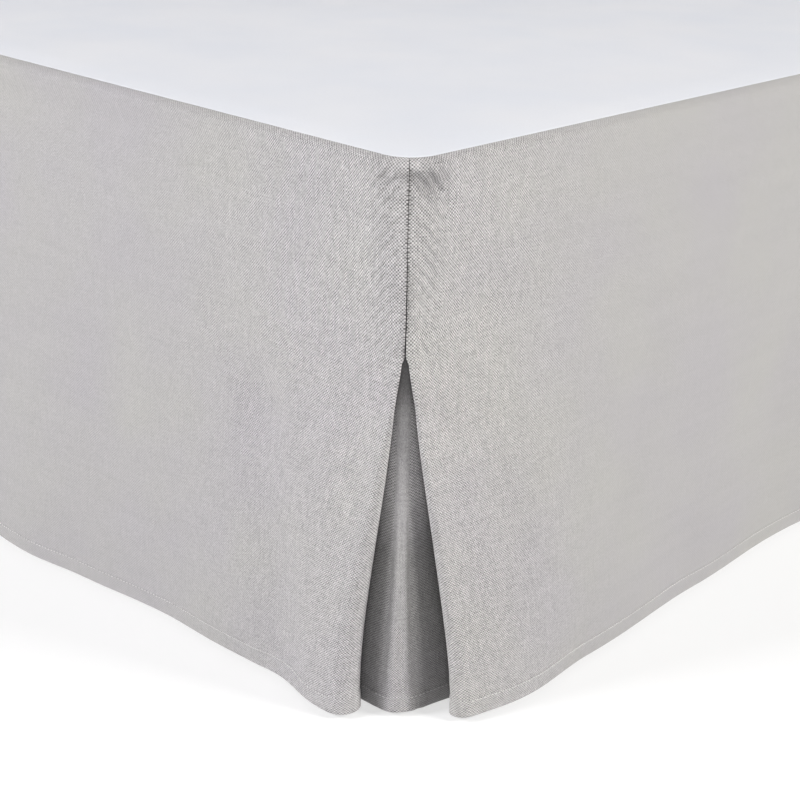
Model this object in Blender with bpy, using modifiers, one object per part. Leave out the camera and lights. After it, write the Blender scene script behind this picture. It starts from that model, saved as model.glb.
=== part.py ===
"""A tailored bed skirt with split corner pleats, hung on a plain bed base.

The skirt is a white deck that lies on the base, three grey drop panels sewn to the deck's
edge, and a pleat insert behind each of the two foot corners. The long side of the bed runs
along Y with its head at +Y, and the floor is at Z = 0.
"""

import math
from collections import namedtuple

import bmesh
import bpy

# Bed and skirt, in metres
BED_WIDTH = 1.524
BED_LENGTH = 2.032
DROP = 0.381
CLOTH = 0.0012
DECK_CLOTH = 0.0012
GAP = 0.0003
SEAM_GAP = 0.0005
HEM_CLEARANCE = 0.0045

# Top edge, where a panel rolls over from its seam with the deck
EDGE_ROLL = 0.005
EDGE_ROLL_STEPS = 3

# Foot corners in plan: round at the top like the base, tighter where the seam ends
CORNER_TOP_RADIUS = 0.020
CORNER_LOW_RADIUS = 0.006
SEAM_LENGTH = 0.113

# Pleat: each panel turns back on itself at the corner and its return lies behind it
RETURN_PLACES = (0.0045, 0.009, 0.0135, 0.018, 0.030, 0.042, 0.055)
RETURN_TOP = 0.012
ROLL_AT_SEAM = 0.0011
OPENING_START = 1.45
OPENING_EASE = 1.70
RETURN_SETTLES_OVER = 0.030

# Insert behind the pleat
INSERT_LEG = 0.095
INSERT_LOW_RADIUS = 0.018
LAYER_GAP = 0.0011
INSERT_TUCK = 0.0028
INSERT_TUCK_LENGTH = 0.030

# Cloth grid: how far the corner's opening pushes the columns aside, and the steps
EASE_REACH = 0.25
COLUMN_STEP = 0.050
NEAR_COLUMNS = (0.0045, 0.009, 0.0135, 0.018, 0.030, 0.046, 0.066, 0.090, 0.120, 0.155, 0.195)
ROLL_STEPS = 6
SEAM_STEPS = 3
OPENING_STEPS = 7

# Base: a plain upholstered box on tapered legs
BOX_INSET = 0.014
BOX_HEAD_INSET = 0.004
BOX_CORNER_RADIUS = 0.040
BOX_EDGE_RADIUS = 0.012
LEG_HEIGHT = 0.150
LEG_TOP_RADIUS = 0.030
LEG_FOOT_RADIUS = 0.022
LEG_SIDE_INSET = 0.060
LEG_END_INSET = 0.110
LEG_SIDES = 20

# How a corner's two flaps open at the hem: opening is from the corner to the turned edge,
# roll_width and roll_depth are the turned edge's half sizes, and settle is how much further
# in the return drops behind the panel.
Flap = namedtuple("Flap", "opening roll_width roll_depth settle")
FOOT_FLAP = Flap(opening=0.0450, roll_width=0.012, roll_depth=0.012, settle=0.0)
SIDE_FLAP = Flap(opening=0.0490, roll_width=0.008, roll_depth=0.007, settle=0.010)

# Soft folds of the hanging panels. along is from the foot corner to the fold's middle at the
# hem, lean is how much further along it stands at the top, width is half its breadth, out is
# how far it stands out (or in, below zero) at the hem, and start is where it begins, as a
# share of the drop.
Fold = namedtuple("Fold", "along lean width out start")
FOOT_FOLDS = (
    Fold(along=0.072, lean=0.012, width=0.050, out=0.001, start=0.30),
    Fold(along=0.125, lean=0.045, width=0.070, out=-0.003, start=0.25),
    Fold(along=0.400, lean=-0.020, width=0.190, out=0.022, start=0.08),
    Fold(along=0.600, lean=0.015, width=0.110, out=-0.004, start=0.20),
    Fold(along=0.775, lean=0.030, width=0.150, out=0.010, start=0.12),
    Fold(along=0.950, lean=-0.020, width=0.100, out=-0.003, start=0.30),
    Fold(along=1.135, lean=-0.010, width=0.180, out=0.017, start=0.10),
    Fold(along=1.350, lean=-0.030, width=0.085, out=-0.004, start=0.28),
)
SIDE_FOLDS = (
    Fold(along=0.100, lean=0.025, width=0.075, out=0.008, start=0.25),
    Fold(along=0.170, lean=0.010, width=0.150, out=0.008, start=0.10),
    Fold(along=0.430, lean=-0.030, width=0.120, out=-0.006, start=0.15),
    Fold(along=0.640, lean=0.020, width=0.160, out=0.010, start=0.10),
    Fold(along=0.860, lean=-0.015, width=0.100, out=-0.003, start=0.25),
    Fold(along=1.090, lean=0.025, width=0.175, out=0.013, start=0.08),
    Fold(along=1.340, lean=-0.020, width=0.110, out=-0.004, start=0.22),
    Fold(along=1.570, lean=0.010, width=0.150, out=0.009, start=0.15),
    Fold(along=1.840, lean=0.015, width=0.140, out=0.006, start=0.20),
)

# Places worked out from the sizes above
DECK_TOP = DROP
DECK_UNDERSIDE = DECK_TOP - DECK_CLOTH
BOX_TOP = DECK_UNDERSIDE - GAP
SHEET_TOP = DECK_TOP - CLOTH / 2
HANG_TOP = SHEET_TOP - EDGE_ROLL
HANG = HANG_TOP - HEM_CLEARANCE
SEAM_END = DECK_TOP - SEAM_LENGTH
HEM_REACH = EDGE_ROLL + max(fold.out for fold in FOOT_FOLDS)
EDGE_X = BED_WIDTH / 2
FOOT_Y = (HEM_REACH - BED_LENGTH) / 2
HEAD_Y = FOOT_Y + BED_LENGTH

COLLECTION = "bed_skirt_on_base"


def smooth(value):
    """Rise gently from 0 to 1 as value goes from 0 to 1."""
    value = min(max(value, 0.0), 1.0)
    return value * value * (3.0 - 2.0 * value)


def lobe(value):
    """A rounded bump of height 1 at zero that ends at -1 and 1."""
    if abs(value) >= 1.0:
        return 0.0
    return 0.5 + 0.5 * math.cos(math.pi * value)


def opened(z):
    """How far the pleat has opened at a height: 0 where the seam ends, 1 at the hem."""
    share = (SEAM_END - z) / (SEAM_END - HEM_CLEARANCE)
    return min(max(share, 0.0), 1.0)


def corner_radius(z):
    """The plan radius of a foot corner at a height."""
    down = smooth((DECK_TOP - z) / SEAM_LENGTH)
    return CORNER_TOP_RADIUS + (CORNER_LOW_RADIUS - CORNER_TOP_RADIUS) * down


def hang_out(folds, along, z):
    """How far a hanging panel stands out from the deck's edge."""
    if z >= HANG_TOP:
        sunk = (SHEET_TOP - z) / EDGE_ROLL
        return EDGE_ROLL * math.sqrt(max(0.0, 1.0 - (1.0 - sunk) ** 2))
    down = (HANG_TOP - z) / HANG
    out = EDGE_ROLL
    for fold in folds:
        middle = fold.along + fold.lean * (1.0 - down)
        growth = smooth((down - fold.start) / (1.0 - fold.start))
        out += fold.out * growth * lobe((along - middle) / fold.width)
    return out


def roll_half_depth(flap, z):
    """Half the space between a panel and its return."""
    return ROLL_AT_SEAM + (flap.roll_depth - ROLL_AT_SEAM) * opened(z)


def roll_half_width(flap, z):
    """How far the turned edge reaches past the roll's middle line."""
    return ROLL_AT_SEAM + (flap.roll_width - ROLL_AT_SEAM) * opened(z)


def flap_edge(flap, z):
    """Distance along the cloth from the corner's mitre to the turned edge."""
    closed = CLOTH / 2 + GAP / 2
    share = 1.0 - (1.0 - opened(z) ** OPENING_START) ** OPENING_EASE
    return closed + (flap.opening - closed) * share


def settle(flap, z, behind):
    """How much further in the return lies, some way behind its turned edge."""
    return flap.settle * opened(z) * smooth(behind / RETURN_SETTLES_OVER)


def round_corner(path, out, z):
    """Along and outward places of a point, its path counted from the corner's mitre."""
    radius = corner_radius(z)
    arc = radius * math.pi / 4
    if path < arc:
        turn = (arc - path) / radius
        reach = radius + out
        return radius - reach * math.sin(turn), reach * math.cos(turn) - radius
    return radius + path - arc, out


def front_path(flap, column, z):
    """Path of a front column: pushed aside near the pleat, upright further on."""
    far = smooth(column / EASE_REACH)
    start = flap_edge(flap, z) + roll_half_width(flap, z)
    if z > DECK_TOP - RETURN_TOP + GAP:
        start = GAP / 2
    radius = corner_radius(z)
    straightened = radius * (1.0 - math.pi / 4)
    return column + start * (1.0 - far) - straightened * far


def front_point(flap, folds, column, z, mirrored_length=None):
    """Along and outward places on the front of a panel near one of its corners."""
    path = front_path(flap, column, z)
    along = round_corner(path, 0.0, z)[0]
    place = along if mirrored_length is None else mirrored_length - along
    return round_corner(path, hang_out(folds, place, z) + SEAM_GAP / 2, z)


def turned_point(flap, folds, turn, behind, z, mirrored_length=None):
    """A point on the turned edge (turn 0 to 180 degrees) and its return behind it."""
    middle = front_path(flap, 0.0, z)
    width = roll_half_width(flap, z)
    depth = roll_half_depth(flap, z)
    path = middle - width * math.sin(turn) + behind
    along = round_corner(max(path, 0.0), 0.0, z)[0]
    place = along if mirrored_length is None else mirrored_length - along
    out = hang_out(folds, place, z) + SEAM_GAP / 2
    out -= depth * (1.0 - math.cos(turn)) + settle(flap, z, behind)
    return round_corner(path, out, z)


def hanging_heights(top):
    """Heights from a sheet's top, past the end of the corner's seam, to the hem."""
    rows = []
    for step in range(SEAM_STEPS):
        rows.append(top + (SEAM_END - top) * step / SEAM_STEPS)
    for step in range(OPENING_STEPS + 1):
        rows.append(SEAM_END + (HEM_CLEARANCE - SEAM_END) * step / OPENING_STEPS)
    return rows


def heights():
    """Heights of the rows of a panel, from its seam down to its hem."""
    rows = []
    for step in range(EDGE_ROLL_STEPS + 1):
        turn = 0.5 * math.pi * step / EDGE_ROLL_STEPS
        rows.append(SHEET_TOP - EDGE_ROLL * (1.0 - math.cos(turn)))
    return rows + hanging_heights(DECK_TOP - RETURN_TOP)


def front_columns(length):
    """Distances of the front columns from the turned edge, up to a length."""
    columns = [0.0] + list(NEAR_COLUMNS)
    count = round((length - columns[-1]) / COLUMN_STEP)
    start = columns[-1]
    for step in range(1, count + 1):
        columns.append(start + (length - start) * step / count)
    return columns


def corner_strip(flap, folds, length, mirrored_length=None):
    """Columns from a return's inner edge round the turn to the panel's middle or far end."""
    strip = []
    for behind in reversed(RETURN_PLACES):
        strip.append(lambda z, b=behind: turned_point(flap, folds, math.pi, b, z, mirrored_length))
    for step in range(ROLL_STEPS, 0, -1):
        turn = math.pi * step / ROLL_STEPS
        strip.append(lambda z, t=turn: turned_point(flap, folds, t, 0.0, z, mirrored_length))
    for column in front_columns(length):
        strip.append(lambda z, c=column: front_point(flap, folds, c, z, mirrored_length))
    return strip


def sheet_object(name, columns, rows, is_cut, material):
    """A cloth sheet from a grid whose columns give the place of a point at each height."""
    mesh = bpy.data.meshes.new(name)
    bm = bmesh.new()
    across = len(columns) - 1
    down = len(rows) - 1
    bmesh.ops.create_grid(bm, x_segments=across, y_segments=down, size=1.0)
    cells = {}
    for vert in bm.verts:
        column = round((vert.co.x + 1.0) / 2.0 * across)
        row = round((1.0 - vert.co.y) / 2.0 * down)
        cells[vert] = (column, row)
    cut = [face for face in bm.faces if is_cut(*centre_cell(face, cells))]
    bmesh.ops.delete(bm, geom=cut, context="FACES")
    for vert, (column, row) in cells.items():
        if vert.is_valid:
            vert.co = columns[column](rows[row])
    bm.to_mesh(mesh)
    bm.free()
    obj = add_object(name, mesh, material)
    wall = obj.modifiers.new("cloth", "SOLIDIFY")
    wall.thickness = CLOTH
    wall.offset = 0.0
    wall.use_even_offset = True
    return obj


def centre_cell(face, cells):
    """Middle column and row of a grid face."""
    corners = [cells[vert] for vert in face.verts]
    column = sum(corner[0] for corner in corners) / len(corners)
    row = sum(corner[1] for corner in corners) / len(corners)
    return column, row


def never_cut(column, row):
    """Keep every face of a grid."""
    return False


def add_object(name, data, material):
    """Put a new object with its material in the model's collection."""
    obj = bpy.data.objects.new(name, data)
    obj.data.materials.append(material)
    bpy.data.collections[COLLECTION].objects.link(obj)
    return obj


def make_material(name, colour, roughness, metallic=0.0):
    """A plain Principled material."""
    material = bpy.data.materials.new(name)
    material.use_nodes = True
    shader = material.node_tree.nodes["Principled BSDF"]
    shader.inputs["Base Color"].default_value = (*colour, 1.0)
    shader.inputs["Roughness"].default_value = roughness
    shader.inputs["Metallic"].default_value = metallic
    return material


def make_deck(material):
    """The flat deck that lies on the base, with round foot corners."""
    edge = SEAM_GAP / 2
    radius = CORNER_TOP_RADIUS - edge
    arc_steps = 6
    points = [(-EDGE_X + edge, HEAD_Y - edge)]
    for side in (-1, 1):
        centre_x = side * (EDGE_X - CORNER_TOP_RADIUS)
        centre_y = FOOT_Y + CORNER_TOP_RADIUS
        for step in range(arc_steps + 1):
            turn = 0.5 * math.pi * step / arc_steps
            if side < 0:
                turn = 0.5 * math.pi - turn
            x = centre_x + side * radius * math.sin(turn)
            points.append((x, centre_y - radius * math.cos(turn)))
    points.append((EDGE_X - edge, HEAD_Y - edge))
    curve = bpy.data.curves.new("deck", "CURVE")
    curve.dimensions = "2D"
    curve.fill_mode = "BOTH"
    curve.extrude = DECK_CLOTH / 2
    outline = curve.splines.new("POLY")
    outline.points.add(len(points) - 1)
    for point, (x, y) in zip(outline.points, points):
        point.co = (x, y, 0.0, 1.0)
    outline.use_cyclic_u = True
    deck = add_object("deck", curve, material)
    deck.location.z = (DECK_TOP + DECK_UNDERSIDE) / 2
    return deck


def make_side_panel(name, side, material):
    """A drop panel down one long side, side being 1 for +X and -1 for -X."""
    rows = heights()
    strip = corner_strip(SIDE_FLAP, SIDE_FOLDS, BED_LENGTH)

    def placed(point):
        """Turn a column of the strip into points in the room."""
        def at_height(z):
            along, out = point(z)
            return (side * (EDGE_X + out), FOOT_Y + along, z)
        return at_height

    columns = [placed(point) for point in strip]
    turned = len(RETURN_PLACES) + ROLL_STEPS
    notch = rows.index(DECK_TOP - RETURN_TOP)

    def is_cut(column, row):
        """The return ends below the rolled top edge."""
        return column < turned and row < notch

    return sheet_object(name, columns, rows, is_cut, material)


def make_foot_panel(material):
    """The drop panel across the foot, turned back at both corners."""
    rows = heights()
    half = BED_WIDTH / 2
    near = corner_strip(FOOT_FLAP, FOOT_FOLDS, half)
    far = corner_strip(FOOT_FLAP, FOOT_FOLDS, half, BED_WIDTH)

    def placed(point, side):
        """Turn a column of a strip into points in the room."""
        def at_height(z):
            along, out = point(z)
            return (side * (EDGE_X - along), FOOT_Y - out, z)
        return at_height

    columns = [placed(point, 1) for point in near]
    columns += [placed(point, -1) for point in reversed(far[:-1])]
    turned = len(RETURN_PLACES) + ROLL_STEPS
    last = len(columns) - 1 - turned
    notch = rows.index(DECK_TOP - RETURN_TOP)

    def is_cut(column, row):
        """The returns end below the rolled top edge."""
        return (column < turned or column > last) and row < notch

    return sheet_object("foot_panel", columns, rows, is_cut, material)


def insert_depth(flap, folds, along, z):
    """How far in from the deck's edge the insert hangs, behind a panel's return."""
    layers = 2 * roll_half_depth(flap, z) + flap.settle * opened(z)
    tucked = INSERT_TUCK * smooth(1.0 - (HANG_TOP - z) / INSERT_TUCK_LENGTH)
    out = hang_out(folds, along, min(z, HANG_TOP))
    return layers + CLOTH + LAYER_GAP + tucked - out


def insert_point(place, z, foot_place):
    """A point of the insert in the corner's own frame: back from each side's edge.

    place runs from -1 at the end of the foot leg, through the round nose between
    -0.5 and 0.5, to 1 at the end of the side leg. foot_place turns a distance from
    this corner into the foot panel's own.
    """
    near_foot = foot_place(INSERT_LOW_RADIUS)
    from_side = insert_depth(SIDE_FLAP, SIDE_FOLDS, INSERT_LOW_RADIUS, z)
    from_foot = insert_depth(FOOT_FLAP, FOOT_FOLDS, near_foot, z)
    beside_panels = corner_radius(z) - (from_side + from_foot) / 2
    radius = beside_panels + (INSERT_LOW_RADIUS - beside_panels) * opened(z)
    if abs(place) <= 0.5:
        turn = (0.5 - place) * math.pi / 2
        back_x = from_side + radius * (1.0 - math.cos(turn))
        back_y = from_foot + radius * (1.0 - math.sin(turn))
        return back_x, back_y
    share = (abs(place) - 0.5) / 0.5
    if place < 0:
        start = from_side + radius
        back_x = start + (INSERT_LEG - start) * share
        return back_x, insert_depth(FOOT_FLAP, FOOT_FOLDS, foot_place(back_x), z)
    start = from_foot + radius
    back_y = start + (INSERT_LEG - start) * share
    return insert_depth(SIDE_FLAP, SIDE_FOLDS, back_y, z), back_y


def make_insert(name, side, material):
    """The insert that shows through the open pleat of one foot corner."""
    leg_steps = 5
    nose_steps = 6
    places = [-1.0 + 0.5 * step / leg_steps for step in range(leg_steps)]
    places += [-0.5 + step / nose_steps for step in range(nose_steps + 1)]
    places += [0.5 + 0.5 * (step + 1) / leg_steps for step in range(leg_steps)]
    rows = hanging_heights(DECK_UNDERSIDE - GAP)

    def foot_place(along):
        """A distance from this corner, measured from the foot panel's own start."""
        return along if side > 0 else BED_WIDTH - along

    def column(place):
        """Turn one place round the insert into points in the room."""
        def at_height(z):
            back_x, back_y = insert_point(place, z, foot_place)
            return (side * (EDGE_X - back_x), FOOT_Y + back_y, z)
        return at_height

    columns = [column(place) for place in places]
    return sheet_object(name, columns, rows, never_cut, material)


def make_box(material):
    """The base's plain upholstered box."""
    width = BED_WIDTH - 2 * BOX_INSET
    length = BED_LENGTH - BOX_INSET - BOX_HEAD_INSET
    height = BOX_TOP - LEG_HEIGHT
    middle_y = (FOOT_Y + BOX_INSET + HEAD_Y - BOX_HEAD_INSET) / 2
    mesh = bpy.data.meshes.new("base_box")
    bm = bmesh.new()
    bmesh.ops.create_cube(bm, size=1.0)
    bmesh.ops.scale(bm, vec=(width, length, height), verts=bm.verts)
    upright = []
    for edge in bm.edges:
        run = edge.verts[0].co - edge.verts[1].co
        if abs(run.z) > height / 2:
            upright.append(edge)
    bmesh.ops.bevel(
        bm,
        geom=upright,
        offset=BOX_CORNER_RADIUS,
        offset_type="OFFSET",
        segments=5,
        profile=0.5,
        affect="EDGES",
        material=-1,
    )
    bm.to_mesh(mesh)
    bm.free()
    box = add_object("base_box", mesh, material)
    box.location = (0.0, middle_y, LEG_HEIGHT + height / 2)
    edges = box.modifiers.new("soft_edges", "BEVEL")
    edges.width = BOX_EDGE_RADIUS
    edges.segments = 2
    edges.limit_method = "ANGLE"
    edges.angle_limit = math.radians(60)
    return box


def make_legs(material):
    """Three pairs of tapered legs under the box."""
    height = LEG_HEIGHT - GAP
    foot_y = FOOT_Y + LEG_END_INSET
    head_y = HEAD_Y - LEG_END_INSET
    lines = {"foot": foot_y, "middle": (foot_y + head_y) / 2, "head": head_y}
    for line, y in lines.items():
        for side_name, side in (("left", -1), ("right", 1)):
            name = f"base_leg_{line}_{side_name}"
            mesh = bpy.data.meshes.new(name)
            bm = bmesh.new()
            bmesh.ops.create_cone(
                bm,
                cap_ends=True,
                segments=LEG_SIDES,
                radius1=LEG_FOOT_RADIUS,
                radius2=LEG_TOP_RADIUS,
                depth=height,
            )
            bm.to_mesh(mesh)
            bm.free()
            mesh.shade_smooth()
            mesh.set_sharp_from_angle(angle=math.radians(40))
            leg = add_object(name, mesh, material)
            leg.location = (side * (EDGE_X - LEG_SIDE_INSET), y, height / 2)


def main():
    """Clear the scene and build the skirt on its base."""
    for obj in list(bpy.data.objects):
        bpy.data.objects.remove(obj, do_unlink=True)
    collection = bpy.data.collections.new(COLLECTION)
    bpy.context.scene.collection.children.link(collection)
    grey = make_material("grey_linen", (0.53, 0.51, 0.50), 0.9)
    white = make_material("white_deck_cloth", (0.86, 0.87, 0.90), 0.9)
    ticking = make_material("base_cover", (0.78, 0.77, 0.75), 0.9)
    wood = make_material("leg_wood", (0.30, 0.20, 0.12), 0.5)
    make_deck(white)
    make_foot_panel(grey)
    make_side_panel("side_panel_left", -1, grey)
    make_side_panel("side_panel_right", 1, grey)
    make_insert("pleat_insert_left", -1, grey)
    make_insert("pleat_insert_right", 1, grey)
    make_box(ticking)
    make_legs(wood)


main()
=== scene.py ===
"""A tailored bed skirt with split corner pleats on a plain bed base: cloth, sewing and finishes.

The skirt is a white deck that lies on the base, three grey linen drop panels sewn to its edge,
and a pleat insert behind each of the two foot corners. Sizes are in metres, +Z is up, the head
of the bed is at +Y, and the floor is at Z = 0.
"""

from __future__ import annotations

import logging
import math
from dataclasses import dataclass
from enum import Enum
from typing import Callable, Iterable, Sequence, Union

import bmesh
import bpy
from mathutils import Matrix, Vector, noise


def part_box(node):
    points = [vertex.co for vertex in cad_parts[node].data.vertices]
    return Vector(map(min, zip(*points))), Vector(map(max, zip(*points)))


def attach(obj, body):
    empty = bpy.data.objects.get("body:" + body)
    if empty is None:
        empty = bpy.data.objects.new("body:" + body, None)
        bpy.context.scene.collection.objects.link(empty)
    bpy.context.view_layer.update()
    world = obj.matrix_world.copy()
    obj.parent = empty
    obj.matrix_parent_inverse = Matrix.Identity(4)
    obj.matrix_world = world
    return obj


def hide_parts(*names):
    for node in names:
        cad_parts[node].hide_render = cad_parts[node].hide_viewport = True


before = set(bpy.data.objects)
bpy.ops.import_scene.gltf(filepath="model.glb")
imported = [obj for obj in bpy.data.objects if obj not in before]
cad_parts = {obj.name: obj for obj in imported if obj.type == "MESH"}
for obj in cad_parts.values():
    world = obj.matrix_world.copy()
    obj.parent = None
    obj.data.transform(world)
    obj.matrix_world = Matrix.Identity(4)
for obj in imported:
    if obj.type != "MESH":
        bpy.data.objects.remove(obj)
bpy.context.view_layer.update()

LOG = logging.getLogger("bed_skirt")
BODY = "root"

# Seams and clearances
HEM_CLEARANCE = 0.0045
SEAM_GAP = 0.0001

# Top edge, where a panel rolls over from its seam with the deck
EDGE_ROLL = 0.005
ALLOWANCE = 0.0128

# Foot corners in plan: round at the top like the base, tighter where the seam ends
CORNER_TOP_RADIUS = 0.020
CORNER_LOW_RADIUS = 0.006
SEAM_LENGTH = 0.113

# Pleat: each panel turns back on itself at the corner and its return lies behind it
RETURN_TOP = 0.012
RETURN_REACH = 0.055
ROLL_AT_SEAM = 0.00013
APEX_SPREAD = 0.0007
APEX_SPREAD_OVER = 0.02
APEX_SPREAD_FADES = 0.16
OPENING_START = 1.45
OPENING_EASE = 1.70
RETURN_SETTLES_OVER = 0.030
EASE_REACH = 0.25

# Insert behind the pleat, which keeps the solids' own distances between layers
INSERT_LEG = 0.095
INSERT_LOW_RADIUS = 0.018
SOLID_SHEET = 0.0012
SOLID_ROLL_AT_SEAM = 0.0011
LAYER_GAP = 0.0011
INSERT_TUCK = 0.0028
INSERT_TUCK_LENGTH = 0.030

# Cloth and sewing
CLOTH = 0.0006
HEM_THICKNESS = 0.0014
HEM_DEPTH = 0.0125
HEM_STITCH = 0.0031
STITCH_BELOW = 0.0011
SEAM_STITCH = 0.0027
STITCH_SHARE = 0.72
HEM_STITCH_RADIUS = 0.00036
SEAM_PULL_REACH = 0.0045
SEAM_PULL_FADES = 0.003
DRAG_STEP = 0.0085
DRAG_REACH = 0.016
DRAG_MIDDLE = 0.012
HEM_PULL_REACH = 0.0035

# Painted shade in the dimple at the top of the corner seam: its middle's distance from the
# seam, height and reach
DIMPLE_ALONG = 0.010
DIMPLE_HEIGHT = 0.3665
DIMPLE_REACH = 0.015

# Names of the cloth's own UV map, its attributes and its hem's vertex group
CLOTH_UV = "cloth"
SEAM_PULL = "seam_pull"
SEAM_DRAG = "seam_drag"
WEAVE_SHOWS = "weave_shows"
# This attribute holds painted shade, which darkens the cloth's colour where it is set
PAINTED_SHADE = "pleat_shade"
HEM_PULL = "hem_pull"
SPOT_VALUES = (SEAM_PULL, SEAM_DRAG, WEAVE_SHOWS, PAINTED_SHADE, HEM_PULL)
HEM_GROUP = "hem"

Colour = tuple[float, float, float]


class Slot(Enum):
    """Names of material slots; nothing in this script uses them."""

    SKIRT = "skirt_linen"
    DECK = "deck_cloth"
    BASE = "base_cover"
    LEG = "leg_wood"


class Side(Enum):
    """The two long sides of the bed, by the sign of their X."""

    LEFT = -1
    RIGHT = 1

    @property
    def word(self) -> str:
        """The side's name as it stands in a piece's name."""
        return self.name.lower()


def smooth(value: float) -> float:
    """Rise gently from 0 to 1 as value goes from 0 to 1.

    Args:
        value: Any number; outside 0 to 1 it is held at the nearer end.

    Returns:
        The eased value.
    """
    value = min(max(value, 0.0), 1.0)
    return value * value * (3.0 - 2.0 * value)


def lobe(value: float) -> float:
    """A rounded bump.

    Args:
        value: Distance from the bump's middle, in half widths.

    Returns:
        1 at the middle, falling to 0 at one half width and beyond.
    """
    if abs(value) >= 1.0:
        return 0.0
    return 0.5 + 0.5 * math.cos(math.pi * value)


def spaced(start: float, end: float, step: float) -> list[float]:
    """Even places from just after start up to end.

    Args:
        start: Where the run begins; it isn't in the result.
        end: Where the run ends; it is in the result.
        step: The spacing to come close to.

    Returns:
        The places in order.
    """
    count = max(1, round(abs(end - start) / step))
    return [start + (end - start) * index / count for index in range(1, count + 1)]


def graded(start: float, *runs: tuple[float, float]) -> list[float]:
    """Places from a start through one run after another.

    Args:
        start: The first place.
        runs: The end of each run and the spacing to come close to on the way there.

    Returns:
        The places in order, with the start.
    """
    places = [start]
    for end, step in runs:
        places += spaced(places[-1], end, step)
    return places


@dataclass(frozen=True)
class BedSize:
    """The bed's driving sizes, read from the deck of the frame."""

    edge_x: float
    foot_y: float
    head_y: float
    top: float

    @classmethod
    def from_frame(cls, seam_gap: float = 0.0005) -> "BedSize":
        """Read the sizes from the deck's box.

        Args:
            seam_gap: How far the deck's solid stops short of the bed's edge, both sides together.

        Returns:
            The bed's sizes.
        """
        low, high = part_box("deck")
        return cls(
            edge_x=high.x + seam_gap / 2,
            foot_y=low.y - seam_gap / 2,
            head_y=high.y + seam_gap / 2,
            top=high.z,
        )

    @property
    def width(self) -> float:
        """Width of the bed."""
        return 2 * self.edge_x

    @property
    def length(self) -> float:
        """Length of the bed."""
        return self.head_y - self.foot_y


BED = BedSize.from_frame()
SHEET_TOP = BED.top - SOLID_SHEET / 2
HANG_TOP = SHEET_TOP - EDGE_ROLL
HANG = HANG_TOP - HEM_CLEARANCE
SEAM_END = BED.top - SEAM_LENGTH
RETURN_START = BED.top - RETURN_TOP
HEM_LINE = HEM_CLEARANCE + HEM_DEPTH
STITCH_LINE = HEM_LINE - STITCH_BELOW


@dataclass(frozen=True)
class Fold:
    """A broad soft fold that grows from the top of a panel to its hem.

    along is from the foot corner to the fold's middle at the hem, lean is how much further
    along it stands at the top, width is half its breadth, out is how far it stands out (or in,
    below zero) at the hem, and start is where it begins, as a share of the drop.
    """

    along: float
    lean: float
    width: float
    out: float
    start: float

    def height(self, along: float, down: float) -> float:
        """How far the fold moves the cloth out.

        Args:
            along: Distance from the foot corner.
            down: Share of the drop, 0 at the top and 1 at the hem.

        Returns:
            The distance outwards.
        """
        middle = self.along + self.lean * (1.0 - down)
        growth = smooth((down - self.start) / (1.0 - self.start))
        return self.out * growth * lobe((along - middle) / self.width)


@dataclass(frozen=True)
class Crease:
    """A soft trough (out below zero) or ridge that runs between two places on a panel."""

    along_from: float
    z_from: float
    along_to: float
    z_to: float
    width: float
    out: float

    def height(self, along: float, z: float) -> float:
        """How far the crease moves the cloth out.

        Args:
            along: Distance from the foot corner.
            z: Height above the floor.

        Returns:
            The distance outwards.
        """
        run_along = self.along_to - self.along_from
        run_z = self.z_to - self.z_from
        off_along = along - self.along_from
        off_z = z - self.z_from
        share = (off_along * run_along + off_z * run_z) / (run_along**2 + run_z**2)
        share = min(max(share, 0.0), 1.0)
        distance = math.hypot(off_along - share * run_along, off_z - share * run_z)
        return self.out * lobe(distance / self.width)


@dataclass(frozen=True)
class Hang:
    """The hanging shape of one drop panel: its folds, its creases and its own unevenness.

    broad and fine are the unevenness of the cloth itself, the allowance fields are for the edge
    of the seam allowance that shows through, the hem dip is where the hem's stitches draw the
    cloth in, and the dimple's shade field is how much painted shade darkens the dimple at the
    top of the corner seam.
    """

    folds: tuple[Fold, ...]
    creases: tuple[Crease, ...]
    seed: float
    broad_scale: float = 17.0
    broad_height: float = 0.00035
    fine_scale: float = 62.0
    fine_height: float = 0.00010
    calm_near_seam: float = 0.020
    allowance_step: float = 0.0005
    allowance_edge: float = 0.0022
    allowance_waves: float = 21.0
    hem_dip: float = 0.00008
    hem_dip_reach: float = 0.0018
    top_shade: float = 0.0

    def out(self, along: float, z: float) -> float:
        """How far the panel's main shape stands out from the deck's edge."""
        if z >= HANG_TOP:
            sunk = (SHEET_TOP - z) / EDGE_ROLL
            return EDGE_ROLL * math.sqrt(max(0.0, 1.0 - (1.0 - sunk) ** 2))
        down = (HANG_TOP - z) / HANG
        return EDGE_ROLL + sum(fold.height(along, down) for fold in self.folds)

    def relief(self, along: float, z: float) -> float:
        """How far creases, the seam allowance and the hem move the cloth out.

        Args:
            along: Distance from the foot corner.
            z: Height above the floor.

        Returns:
            The distance outwards, nothing at the very top.
        """
        height = sum(crease.height(along, z) for crease in self.creases)
        broad = noise.noise(Vector((along * self.broad_scale, z * self.broad_scale, self.seed)))
        fine = noise.noise(Vector((along * self.fine_scale, z * self.fine_scale, self.seed)))
        calm = smooth(along / self.calm_near_seam)
        height += calm * (self.broad_height * broad + self.fine_height * fine)
        uneven = 0.75 + 0.5 * noise.noise(Vector((along * self.allowance_waves, self.seed, 0.0)))
        under = BED.top - ALLOWANCE - z
        height += self.allowance_step * uneven * smooth(1.0 - under / self.allowance_edge)
        height -= self.hem_dip * lobe((z - HEM_LINE) / self.hem_dip_reach)
        return height * min(max((SHEET_TOP - z) / EDGE_ROLL, 0.0), 1.0)

    def surface(self, along: float, z: float) -> float:
        """How far the cloth's middle stands out from the deck's edge, all told."""
        return self.out(along, z) + self.relief(along, z)


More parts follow.
